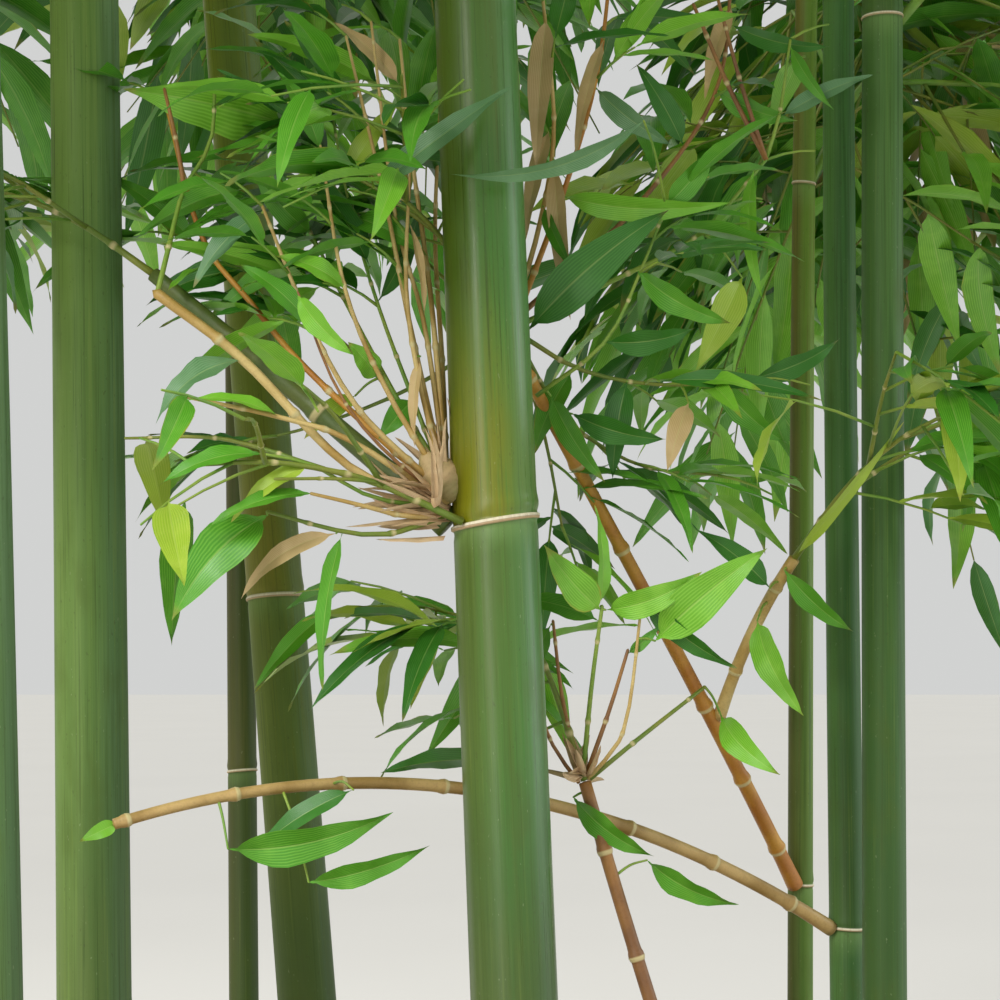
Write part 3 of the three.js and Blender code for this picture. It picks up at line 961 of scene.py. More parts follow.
def smooth_line(points: Array, steps: int) -> Array:
    """Return points on a smooth line through a few points.

    Args:
        points: The points it goes through.
        steps: How many steps it takes from one to the next.

    Returns:
        The finer points.
    """
    points = np.asarray(points, float)
    padded = np.concatenate([2 * points[:1] - points[1:2], points, 2 * points[-1:] - points[-2:-1]])
    found = []
    for i in range(1, len(padded) - 2):
        a, b, c, d = padded[i - 1 : i + 3]
        for t in np.arange(steps) / steps:
            found.append(
                0.5 * (2 * b + (c - a) * t + (2 * a - 5 * b + 4 * c - d) * t * t
                       + (3 * b - a - 3 * c + d) * t ** 3)
            )
    return np.array([*found, points[-1]])


# Growth, by the same rule as the frame's solids

# How many corners the sections of the solids have, and in how many steps a bough is made there
THICK_SIDES, THIN_SIDES, BOUGH_STEPS = 8, 6, 5
# In how many steps a bough is traced here
FINE_STEPS = 60
# How far a low mass reaches, and how coarsely the low masses and the crown's grow
LOW_REACH, LOW_LEAF, CROWN_LEAF = 230, 150, 340


def square_axis(points: Array) -> Array:
    """Choose the axis that a limb's sections are squared to.

    Args:
        points: The limb's centre points.

    Returns:
        The world axis that the limb lies least along.
    """
    x, y, z = np.abs(points[-1] - points[0])
    if y <= x and y <= z:
        return Y_AXIS
    return X_AXIS if x <= z else Z_AXIS


def ring_frame(points: Array, ring: int, facing: Array | None) -> Pair:
    """Return how one ring of a limb is turned.

    Args:
        points: The limb's centre points.
        ring: The ring's number.
        facing: The way that the limb's foot faces.

    Returns:
        The ring's side and front directions.
    """
    last = len(points) - 1
    run = unit(points[min(ring + 1, last)] - points[max(ring - 1, 0)])
    if ring == 0 and facing is not None:
        run = facing
    side = unit(np.cross(square_axis(points), run))
    return side, np.cross(run, side)


def corner_seat(point: Array, frame: Pair, radius: float, sides: int, wanted: Array) -> Pair:
    """Return the foot of a side limb on the ring's corner nearest the way wanted.

    Args:
        point: The ring's centre.
        frame: Its side and front directions.
        radius: Its radius.
        sides: How many corners it has.
        wanted: The way that the limb should leave.

    Returns:
        The foot and the way it faces.
    """
    turns = np.arange(sides) * math.tau / sides
    corners = frame[0] * np.sin(turns)[:, None] + frame[1] * np.cos(turns)[:, None]
    facing = corners[int(np.argmax(corners @ wanted))]
    return point + facing * (radius + SEAT_GAP), facing


def tip_seat(points: Array) -> Pair:
    """Return the foot and direction of a shoot that goes on from a limb's tip."""
    direction = unit(points[-1] - points[-2])
    return points[-1] + direction * SEAT_GAP, direction


@dataclass
class Culm:
    """One culm: where it stands, how it leans and arches, and the masses of foliage on it."""

    name: str
    foot: tuple[float, float]
    lean: tuple[float, float]
    arch_deg: float
    arch: float
    length: float
    diameter: float
    node: float
    above: float
    below: float
    side_deg: float
    masses: int
    bare: int
    tip_radius: float = 2.4
    thin: float = 14.0

    # The foot's flare and its height, a ring's swell, and the longest step between sections
    FLARE, FLARE_HEIGHT, SWELL, CHORD = 1.18, 28.0, 1.07, 285
    # The lowest ring's least height, and how internodes shorten down from the known one and up
    LOWEST, SHORTER_DOWN, SHORTER_UP = 40, 0.6, 0.93

    def axis(self, height: float | Array) -> Array:
        """Find the middle of the culm.

        Args:
            height: A height along it, or several.

        Returns:
            The point, or a row of points.
        """
        height = np.asarray(height, float)
        share = np.maximum(height / self.length, 0)
        sweep = self.arch * self.length * share**4
        turn = math.radians(self.arch_deg)
        x = self.foot[0] + self.lean[0] * height + math.cos(turn) * sweep
        y = self.foot[1] + self.lean[1] * height + math.sin(turn) * sweep
        return np.stack([x, y, SOIL_LEVEL + height - 0.05 * self.length * share**6], -1)

    def tangent(self, height: float) -> Array:
        """Return the culm's direction at a height."""
        return unit(self.axis(height + 1) - self.axis(height - 1))

    def radius(self, height: float | Array) -> Array:
        """Return the culm's radius at a height."""
        share = np.clip(np.asarray(height, float) / self.length, 0, 1)
        return self.tip_radius + (self.diameter / 2 - self.tip_radius) * (1 - share**1.7)

    def node_heights(self) -> list[float]:
        """Space the rings up and down from the one whose height is known.

        Returns:
            Their heights.
        """
        heights = [self.node]
        internode = self.below
        while heights[0] - internode > self.LOWEST:
            heights.insert(0, heights[0] - internode)
            internode *= self.SHORTER_DOWN
        internode = self.above
        while heights[-1] + 1.5 * internode < self.length:
            heights.append(heights[-1] + internode)
            internode *= self.SHORTER_UP
        return heights

    def rings(self) -> list[tuple[float, float]]:
        """List the sections that the frame's solid has.

        Returns:
            The height and radius of each.
        """
        foot = float(self.radius(0))
        rings = [(SEAT_GAP, foot * self.FLARE), (self.FLARE_HEIGHT, foot)]
        last = self.FLARE_HEIGHT
        for height in [*self.node_heights(), self.length]:
            chords = math.ceil((height - last) / self.CHORD)
            for i in range(1, chords):
                between = last + (height - last) * i / chords
                rings.append((between, float(self.radius(between))))
            radius = float(self.radius(height))
            if radius > self.thin:
                rings.append((height - 5, radius))
            swollen = radius * self.SWELL if height < self.length else self.tip_radius
            rings.append((height, swollen))
            if radius > self.thin:
                rings.append((height + 15, radius))
            last = height
        return rings

    def seat(self, height: float, wanted: Array) -> Pair:
        """Find a side limb's place on a ring.

        Args:
            height: The ring's height.
            wanted: The way that the limb should leave.

        Returns:
            The limb's foot and the way it faces.
        """
        rings = self.rings()
        ring = [other for other, _ in rings].index(height)
        points = self.axis(np.array([other for other, _ in rings]))
        sides = THICK_SIDES if self.diameter / 2 > self.thin else THIN_SIDES
        frame = ring_frame(points, ring, Z_AXIS)
        return corner_seat(points[ring], frame, rings[ring][1], sides, wanted)


@dataclass
class Bough:
    """One thin side branch, bent through the point that its ends are drawn towards."""

    name: str
    carrier: str
    towards: tuple[float, float, float]
    tip: tuple[float, float, float]
    radius: float
    tip_radius: float
    wood: Wood
    height: float = 0.0
    foot: tuple[float, float] = (0.0, 0.0)
    ring: int = 0
    leafy: bool = True
    start: Array = field(default_factory=lambda: Z_AXIS)
    facing: Array = field(default_factory=lambda: Z_AXIS)

    def curve(self, steps: int) -> Array:
        """Return points along the bough."""
        t, middle = np.linspace(0, 1, steps + 1)[:, None], np.array(self.towards)
        return self.start * (1 - t) ** 2 + middle * 2 * t * (1 - t) + np.array(self.tip) * t**2

    def radii(self, steps: int) -> Array:
        """Return the radius at each of those points."""
        return np.linspace(self.radius, self.tip_radius, steps + 1)


@dataclass
class Mass:
    """One mass of foliage: its stem, and how far and how coarsely it grows."""

    name: str
    start: Array
    direction: Array
    facing: Array
    reach: float
    leaf: float
    index: int = 0

    STEM_STATIONS = (0.0, 0.3, 0.52, 0.74, 1.0)
    TWIG_STATIONS = (0.0, 0.5, 1.0)
    # Lengths of the stem and of a twig, and how far they droop, as shares of the reach
    STEM_SHARE, TWIG_SHARE, DROOP = 0.72, 0.56, 0.42

    def shoot(
        self, start: Array, direction: Array, length: float, shares: Sequence[float]
    ) -> Array:
        """Return points of a shoot that rises from its start and droops under its own weight."""
        way = length * np.array(shares)[:, None]
        return start + direction * way - Z_AXIS * self.DROOP * self.reach * (way / self.reach) ** 2

    @property
    def stem(self) -> Array:
        """The stem's points."""
        length = self.reach * self.STEM_SHARE
        return self.shoot(self.start, self.direction, length, self.STEM_STATIONS)

    @property
    def high(self) -> bool:
        """Whether the mass is one of the crown's."""
        return self.leaf == CROWN_LEAF


class Space:
    """The space that each mass may fill, clear of the culms and boughs."""

    # How clear a leaf stays of limbs and other masses, and how far it may pass the solids' reach
    CLEAR, MARGIN = 8, 6

    def __init__(self) -> None:
        """Start with nothing in the way."""
        self.starts: list[Array] = []
        self.ends: list[Array] = []
        self.radii: list[Array] = []
        self.stems = np.zeros((0, len(Mass.STEM_STATIONS), 3))
        low, high = (np.array(corner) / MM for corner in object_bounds())
        self.lowest, self.highest = low - self.MARGIN, high + self.MARGIN

    def block(self, points: Array, radii: Array) -> None:
        """Keep twigs and leaves out of a limb.

        Args:
            points: The limb's centre points.
            radii: Its radius at each.
        """
        self.starts.append(points[:-1])
        self.ends.append(points[1:])
        self.radii.append(radii[:-1])

    def clearance(self, points: Array) -> Array:
        """Measure how far points are from the limbs.

        Args:
            points: The points.

        Returns:
            Each one's distance from the nearest limb.
        """
        starts, radii = np.concatenate(self.starts), np.concatenate(self.radii)
        runs = np.concatenate(self.ends) - starts
        away = points[:, None, :] - starts[None]
        share = np.clip((away * runs).sum(-1) / (runs * runs).sum(-1), 0, 1)
        gap = np.linalg.norm(away - share[..., None] * runs, axis=-1) - radii
        return gap.min(axis=1)

    def own(self, points: Array, mass: Mass) -> Array:
        """Tell which points lie in a mass's own space.

        Args:
            points: The points.
            mass: The mass.

        Returns:
            Whether each is nearer to the mass's stem than to any other's, with room to spare.
        """
        stems = self.stems.reshape(-1, 3)
        gap = np.linalg.norm(points[:, None, :] - stems[None], axis=-1)
        gap = gap.reshape(len(points), *self.stems.shape[:2]).min(axis=2)
        own = gap[:, mass.index].copy()
        gap[:, mass.index] = np.inf
        return gap.min(axis=1) > own + self.CLEAR

    def fits(self, points: Array, mass: Mass) -> Array:
        """Return which points a mass may fill, within the reach of the frame's solids."""
        inside = ((points > self.lowest) & (points < self.highest)).all(axis=1)
        return inside & self.own(points, mass) & (self.clearance(points) > self.CLEAR)


CULMS = (
    Culm("culm_front", (40, -75), (-0.0395, 0), 285, 0.05, 4400, 48, 570, 560, 325, 275, 6, 0),
    Culm("culm_left", (-206, -4), (-0.022, 0.005), 186, 0.09, 4050, 43, 285, 610, 220, 190, 5, 0),
    Culm("culm_far_left", (-232, -118), (-0.028, -0.03), 222, 0.15, 3250, 27, 265, 620, 205,
         228, 3, 1),
    Culm("culm_back_left", (-80, 152), (-0.087, 0.022), 110, 0.04, 3850, 38, 535, 600, 348,
         140, 4, 0),
    Culm("culm_rear_left", (-146, 206), (-0.018, 0.03), 118, 0.16, 2900, 20, 420, 560, 260,
         120, 3, 1),
    Culm("culm_rear", (42, 247), (-0.03, 0.02), 84, 0.1, 3600, 27, 500, 520, 290, 75, 3, 0),
    Culm("culm_rear_right", (214, 187), (0.012, 0.015), 48, 0.17, 2750, 17, 347, 470, 220,
         48, 3, 0),
    Culm("culm_right", (236, 104), (0, 0.018), 14, 0.14, 3300, 22, 328, 640, 210, 10, 4, 1),
    Culm("culm_far_right", (250, 67), (0.008, 0.004), 325, 0.1, 3700, 27, 274, 620, 190, 320, 4, 0),
)

BOUGHS = (
    Bough("bough_node_branch", "culm_front", (-95, -66, 1095), (-176, -52, 1162), 6.6, 4.2,
          Wood.MOSS, height=570),
    Bough("bough_leaning", "culm_rear_right", (150, 92, 915), (24, -22, 1130), 5, 3.6,
          Wood.ORANGE, height=347),
    Bough("bough_low", "culm_right", (12, -8, 919), (-189, -86, 856), 4.4, 3, Wood.TAN,
          height=328, leafy=False),
    Bough("bough_shoot", "soil", (118, -20, 700), (68, -25, 876), 4.6, 3.6, Wood.BROWN,
          foot=(206, -34)),
    Bough("bough_fork", "bough_leaning", (172, 74, 965), (198, 50, 1006), 3.8, 3.6,
          Wood.STRAW, ring=2),
)


class Clump:
    """The whole plant's plan: culms, boughs, masses and the space of each."""

    # Radii of a mass's stem and twigs at their feet, and how often a twig looks for room
    STEM_RADIUS, TWIG_RADIUS, TRIES = 3.6, 2.6, 8

    def __init__(self) -> None:
        """Grow the plan."""
        self.culms = {culm.name: culm for culm in CULMS}
        self.boughs = {bough.name: bough for bough in BOUGHS}
        self.space = Space()
        for bough in BOUGHS:
            bough.start, bough.facing = self.bough_seat(bough)
        for culm in CULMS:
            heights = np.linspace(0, culm.length, 25)
            self.space.block(culm.axis(heights), culm.radius(heights) * culm.SWELL)
        for bough in BOUGHS:
            self.space.block(bough.curve(BOUGH_STEPS), bough.radii(BOUGH_STEPS))
        self.masses = self.low_masses()
        for culm in CULMS:
            self.add_culm_masses(culm)
        for index, mass in enumerate(self.masses):
            mass.index = index
        self.space.stems = np.array([mass.stem for mass in self.masses])

    def bough_seat(self, bough: Bough) -> Pair:
        """Seat a bough on what carries it.

        Args:
            bough: The bough.

        Returns:
            Its foot and the way it faces.
        """
        if bough.carrier == "soil":
            return np.array([*bough.foot, SOIL_LEVEL + SEAT_GAP]), Z_AXIS
        towards = np.array(bough.towards)
        if bough.carrier in self.culms:
            culm = self.culms[bough.carrier]
            return culm.seat(bough.height, towards - culm.axis(bough.height))
        parent = self.boughs[bough.carrier]
        points = parent.curve(BOUGH_STEPS)
        frame = ring_frame(points, bough.ring, parent.facing)
        radius = parent.radii(BOUGH_STEPS)[bough.ring]
        wanted = towards - points[bough.ring]
        return corner_seat(points[bough.ring], frame, radius, THIN_SIDES, wanted)

    def low_masses(self) -> list[Mass]:
        """Plan the masses that the photograph shows.

        Returns:
            The fan that leaves the front culm's ring, and the masses on the boughs' tips.
        """
        front = self.culms["culm_front"]
        start, facing = front.seat(front.node, heading(225, 0))
        fan = Mass("foliage_node_fan", start, heading(195, 28), facing, LOW_REACH, LOW_LEAF)
        masses = [fan]
        for bough in BOUGHS:
            if bough.leafy:
                end, onward = tip_seat(bough.curve(BOUGH_STEPS))
                name = "foliage_" + bough.name.removeprefix("bough_")
                masses.append(Mass(name, end, onward, onward, LOW_REACH, LOW_LEAF))
        return masses

    @staticmethod
    def crown_reach(share: float) -> float:
        """Return how far a crown mass reaches that stands at a share of its culm's length."""
        return 300 + 190 * math.sin(math.pi * share)

    def add_culm_masses(self, culm: Culm) -> None:
        """Add a culm's masses, each turned to the most open side, and the one on its tip.

        Args:
            culm: The culm.
        """
        short = culm.name.removeprefix("culm_")
        rise = math.radians(50)
        nodes = culm.node_heights()
        leafy = nodes[nodes.index(culm.node) + 1 + culm.bare :]
        for i in range(culm.masses - 1):
            height = leafy[math.floor(i * (len(leafy) - 1) / (culm.masses - 1.5) + 0.5)]
            share = height / culm.length
            reach = self.crown_reach(share)
            spread = 60 + 110 * share
            upward = culm.tangent(height)
            options, openness = [], []
            others = np.concatenate([mass.stem for mass in self.masses])
            for turn in np.arange(-1, 1.01, 0.25):
                start, facing = culm.seat(height, heading(culm.side_deg + turn * spread, 0))
                direction = unit(facing * math.cos(rise) + upward * math.sin(rise))
                name = f"foliage_{short}_{i + 1}"
                option = Mass(name, start, direction, facing, reach, CROWN_LEAF)
                outer = option.stem[2:]
                gaps = np.linalg.norm(outer[:, None] - others[None], axis=-1).min(axis=1)
                openness.append(min(gaps.min(), self.space.clearance(outer).min()))
                options.append(option)
            self.masses.append(options[int(np.argmax(openness))])
        points = culm.axis(np.array([height for height, _ in culm.rings()]))
        start, direction = tip_seat(points)
        name, reach = f"foliage_{short}_tip", self.crown_reach(0.8)
        self.masses.append(Mass(name, start, direction, direction, reach, CROWN_LEAF))

    def shoots(self, mass: Mass) -> list[tuple[Array, float, float]]:
        """Return a mass's stem and its twigs.

        Args:
            mass: The mass.

        Returns:
            The points, azimuth and foot radius of each.
        """
        dice = Dice(20 + mass.index)
        azimuth = math.degrees(math.atan2(mass.direction[1], mass.direction[0]))
        rise = math.degrees(math.asin(mass.direction[2]))
        shoots = [(mass.stem, azimuth, self.STEM_RADIUS)]
        for i in (1, 2, 3):
            for _ in range(self.TRIES):
                turn = (1 if i % 2 else -1) * dice.between(35, 80)
                lift = min(rise, 60) + dice.between(-45, 15)
                length = mass.reach * mass.TWIG_SHARE * dice.between(0.8, 1.1)
                way = heading(azimuth + turn, lift)
                points = mass.shoot(mass.stem[i], way, length, mass.TWIG_STATIONS)
                foot, middle, tip = points
                tests = np.array([(foot + middle) / 2, middle, (middle + tip) / 2, tip])
                if self.space.fits(tests, mass).all():
                    shoots.append((points, azimuth + turn, self.TWIG_RADIUS))
                    break
        return shoots


# Sub-assemblies


@dataclass
class Planter:
    """The round terracotta planter and the soil in it."""

    height: float = 500
    rim: float = 360
    foot: float = 285
    wall: float = 26
    floor: float = 36
    band: float = 62
    proud: float = 12
    edge: float = 7
    sides: int = 96
    soil_sides: int = 150
    soil_rings: int = 56
    slack: float = 0.6

    def wall_radius(self, height: float) -> float:
        """Return the outer radius of the wall at a height."""
        return self.foot + (self.rim - self.proud - self.foot) * height / self.height

    def profile(self) -> list[tuple[float, float]]:
        """Draw the planter's section, from the middle of its underside round to its inside.

        Returns:
            The radius and height of each point.
        """
        band_foot = self.height - self.band
        outer = [(self.wall_radius(h), h) for h in np.linspace(self.edge, band_foot - 4, 14)]
        return [
            (0, 0), (self.foot * 0.5, 0), (self.foot - self.edge, 0), (self.foot - 2, 2.2), *outer,
            (self.wall_radius(band_foot) + 3, band_foot),
            (self.rim - 3, band_foot + 2.5), (self.rim, band_foot + self.edge),
            (self.rim, self.height - self.band / 2), (self.rim, self.height - self.edge),
            (self.rim - 2, self.height - 2), (self.rim - self.edge, self.height),
            (self.inside(self.height) + self.edge, self.height),
            (self.inside(self.height) + 2, self.height - 2),
            (self.inside(self.height), self.height - self.edge),
            (self.inside(self.floor), self.floor), (0, self.floor),
        ]

    def inside(self, height: float) -> float:
        """Return the inner radius of the wall at a height."""
        return self.wall_radius(height) - self.wall

    def pot(self) -> Piece:
        """Build the planter, very slightly out of round.

        Returns:
            The piece.
        """
        mesh, places = settled(turned(self.profile(), self.sides), "planter")
        turn, height = np.arctan2(places[:, 1], places[:, 0]), places[:, 2]
        wave = np.sin(turn * 3 + height / 90) * 0.5 + np.sin(turn * 7 - height / 40) * 0.25
        outside = np.hypot(places[:, 0], places[:, 1]) > 200
        places[:, :2] *= (1 - outside * (0.75 + wave) * 0.0016)[:, None]
        place_vertices(mesh, places)
        return show(mesh, TerracottaFinish().make(), ["pot"])

    def soil(self) -> Piece:
        """Build the soil, with a crumbled top.

        Returns:
            The piece.
        """
        outer = self.inside(SOIL_LEVEL) - self.slack
        rings = [(r, SOIL_LEVEL) for r in np.linspace(0, outer, self.soil_rings)]
        foot, level = self.inside(self.floor) - self.slack, self.floor + SEAT_GAP
        form = turned([*rings, (foot, level), (0, level)], self.soil_sides)
        mesh, places = settled(form, "soil_fill")
        for i in np.flatnonzero(places[:, 2] > SOIL_LEVEL - 1):
            x, y, z = places[i]
            lump = noise.noise(Vector((x / 55, y / 55, 3.0))) * 5
            crumb = noise.noise(Vector((x / 12, y / 12, 8.0))) * 3
            crumb += noise.noise(Vector((x / 5, y / 5, 1.0))) * 1.4
            places[i, 2] = z - 4 + min(lump + crumb, 6.0)
        place_vertices(mesh, places)
        return show(mesh, SoilFinish().make(), ["soil"])


@dataclass
class CulmStand:
    """The culms, each turned with its ringed joints and bent to its axis."""

    clump: Clump
    finishes: dict[str, CulmFinish]

    # Heights of the sections round a node, and the least of them, on a culm 24 mm in radius
    SECTIONS = (
        -34, -22, -12, -7, -4.6, -3.4, -2.4, -1.75, -1.4, -1.0, -0.3, 0.3, 1.0, 1.4, 1.75, 2.6,
        3.6, 5, 6.5, 8, 9.5, 11.5, 14, 18, 26, 38,
    )
    RADIUS, LEAST = 24, 0.5

    def build(self) -> None:
        """Build every culm."""
        for culm in self.clump.culms.values():
            self.culm(culm)

    @staticmethod
    def joint(shift: Array, size: float) -> Array:
        """Return how far a joint stands out of the culm's radius.

        Args:
            shift: Distance above the sheath scar.
            size: The joint's scale.

        Returns:
            The relief.
        """
        d = shift / size
        ridge = 0.95 * np.exp(-(((d - 8.0) / 4.6) ** 2))
        scar = 1.25 * np.clip(1.7 - np.abs(d), 0, 0.6) / 0.6
        groove = -0.5 * np.exp(-(((d + 3.6) / 2.0) ** 2)) - 0.35 * np.exp(-(((d - 2.8) / 1.2) ** 2))
        return size * (ridge + scar + groove)

    def culm(self, culm: Culm) -> Piece:
        """Build one culm.

        Args:
            culm: Its plan.

        Returns:
            The piece.
        """
        front = culm.name == "culm_front"
        sides, step = (72, 40) if front else (32, 70)
        nodes = np.array(culm.node_heights())
        heights = set(np.arange(60, culm.length - 20, step))
        for node in nodes:
            size = max(self.LEAST, float(culm.radius(node)) / self.RADIUS)
            near = node + np.array(self.SECTIONS if front else self.SECTIONS[1::2]) * size
            heights = {h for h in heights if not near[0] - 6 < h < near[-1] + 6}
            heights |= set(near)
        heights = {h for h in heights if 30 < h < culm.length - 2}
        heights = sorted({SEAT_GAP, 6.0, 14.0, culm.FLARE_HEIGHT, *heights})
        heights += [culm.length - 1.2, culm.length]
        radii = [
            float(culm.radius(h)) * (1 + 0.18 * max(0.0, 1 - h / culm.FLARE_HEIGHT) ** 1.5)
            for h in heights
        ]
        profile = [(0.0, SEAT_GAP), *zip(radii, heights), (0.0, culm.length)]
        mesh, local = settled(turned(profile, sides), culm.name + "_bark")
        h = local[:, 2].copy()
        turn = np.arctan2(local[:, 1], local[:, 0])
        below = np.where(h[:, None] < nodes, nodes - h[:, None], 1e3).min(axis=1)
        above = np.where(h[:, None] >= nodes, h[:, None] - nodes, 1e3).min(axis=1)
        nearest = nodes[np.abs(h[:, None] - nodes).argmin(axis=1)]
        size = np.maximum(self.LEAST, culm.radius(nearest) / self.RADIUS)
        shift = h - nearest
        relief = self.joint(shift, size)
        radius = np.hypot(local[:, 0], local[:, 1])
        on_wall = radius > 0.5
        grown = np.where(on_wall, radius + relief, radius)
        scale = np.where(on_wall, grown / np.maximum(radius, 0.5), 1.0)
        local[:, :2] *= scale[:, None]
        tilt = (3.2 if front else 1.5) * np.cos(turn + (0 if front else culm.side_deg)) * size
        local[:, 2] += tilt * np.exp(-((shift / (26 * size)) ** 2)) * on_wall
        marks = np.arange(0, culm.length + 15, 10.0)
        spine = Spine(marks, culm.axis(marks), Y_AXIS)
        place_vertices(mesh, spine.bend(local))
        scar = (np.abs(shift / size) < 1.45).astype(float) * on_wall
        grain = np.stack([np.cos(turn) * radius, np.sin(turn) * radius, h], -1) * MM
        set_attribute(mesh, "grain", grain)
        set_attribute(mesh, "place", np.stack([above * MM, below * MM, np.cos(turn)], -1))
        set_attribute(mesh, "scar", np.stack([scar, shift / size, scar * 0], -1))
        return show(mesh, self.finishes[culm.name].make(), [culm.name])


@dataclass
class BoughSet:
    """The thin side branches, with ringed joints."""

    clump: Clump
    pitch: float = 62.0
    step: float = 9.0
    sides: int = 20

    # Places of the sections round a joint, as shares of its lip
    JOINT = (-3.4, -2, -1.2, -0.6, 0, 0.6, 1.2, 2, 3.2, 5)

    def build(self) -> None:
        """Build every bough."""
        finishes = {}
        for bough in self.clump.boughs.values():
            if bough.wood not in finishes:
                finishes[bough.wood] = bough.wood.finish.make()
            self.bough(bough, finishes[bough.wood])

    def bough(self, bough: Bough, finish: Material) -> Piece:
        """Build one bough.

        Args:
            bough: Its plan.
            finish: Its skin.

        Returns:
            The piece.
        """
        spine = Spine.through(bough.curve(FINE_STEPS))
        total = spine.lengths[-1]
        joints = np.arange(self.pitch * 0.55, total - 8, self.pitch)
        lip = bough.radius * 0.32
        heights = set(np.arange(4, total - 3, self.step))
        for joint in joints:
            near = joint + np.array(self.JOINT) * lip
            heights = {h for h in heights if not near[0] - 2 < h < near[-1] + 2} | set(near)
        heights = [0.0, *sorted(h for h in heights if 0.5 < h < total - 1), total - 0.6]
        start = bough.radius * (1.35 if bough.carrier.startswith("culm_front") else 1.1)
        radii = []
        for h in heights:
            radius = bough.radius + (bough.tip_radius - bough.radius) * h / total
            swell = (start - bough.radius) * math.exp(-((h / 16) ** 2))
            radii.append(radius + swell)
        profile = [(0.0, 0.0), *zip(radii, heights), (0.0, total)]
        mesh, local = settled(turned(profile, self.sides), bough.name + "_bark")
        h = local[:, 2]
        nearest = joints[np.abs(h[:, None] - joints).argmin(axis=1)]
        shift = (h - nearest) / lip
        relief = 0.9 * np.exp(-(((shift - 1.4) / 1.5) ** 2))
        relief = relief + 0.9 * np.clip(1.1 - np.abs(shift), 0, 0.5)
        radius = np.hypot(local[:, 0], local[:, 1])
        on_wall = radius > 0.5
        grown = 1 + relief * lip * 0.6 / np.maximum(radius, 0.5)
        local[:, :2] *= np.where(on_wall, grown, 1.0)[:, None]
        scar = (np.abs(shift) < 0.8) * on_wall * 1.0
        place_vertices(mesh, spine.bend(local))
        set_attribute(mesh, "scar", np.stack([scar, scar, scar], -1))
        return show(mesh, finish, [bough.name])


# How far ahead of the eye a leaf counts as close, how wide the view is there, and how it rises
CLOSE_REACH, VIEW_SPREAD, VIEW_RISE = 2200, 0.26, 0.07


def seen_close(point: Array) -> bool:
    """Tell whether the viewer in front sees a leaf so close that it needs its full outline.

    Args:
        point: Where the leaf stands.

    Returns:
        Whether it is near enough and within the view.
    """
    ahead = point[1] - EYE[1]
    aside, above = abs(point[0] - EYE[0]), abs(point[2] - EYE[2] - ahead * VIEW_RISE)
    return ahead < CLOSE_REACH and max(aside, above) < ahead * VIEW_SPREAD


def drooping(root: Array, azimuth: float, rise: float, length: float, sag: float) -> Array:
    """Return points of a fine twig that droops by a share of its length."""
    t = np.array([0, 0.35, 0.7, 1.0])[:, None]
    return root + heading(azimuth, rise) * length * t - Z_AXIS * sag * length * t * t


def leaf_way(azimuth: float, rise: float, roll_deg: float) -> Pair:
    """Turn a leaf.

    Args:
        azimuth: Azimuth of its tip, in degrees.
        rise: Rise of its tip, in degrees.
        roll_deg: How far it is rolled about its length, in degrees.

    Returns:
        The way it points and the way its upper side faces.
    """
    forward, level = heading(azimuth, rise), heading(azimuth + 90, 0)
    roll = math.radians(roll_deg)
    across = level * math.cos(roll) + np.cross(forward, level) * math.sin(roll)
    return forward, np.cross(forward, across)


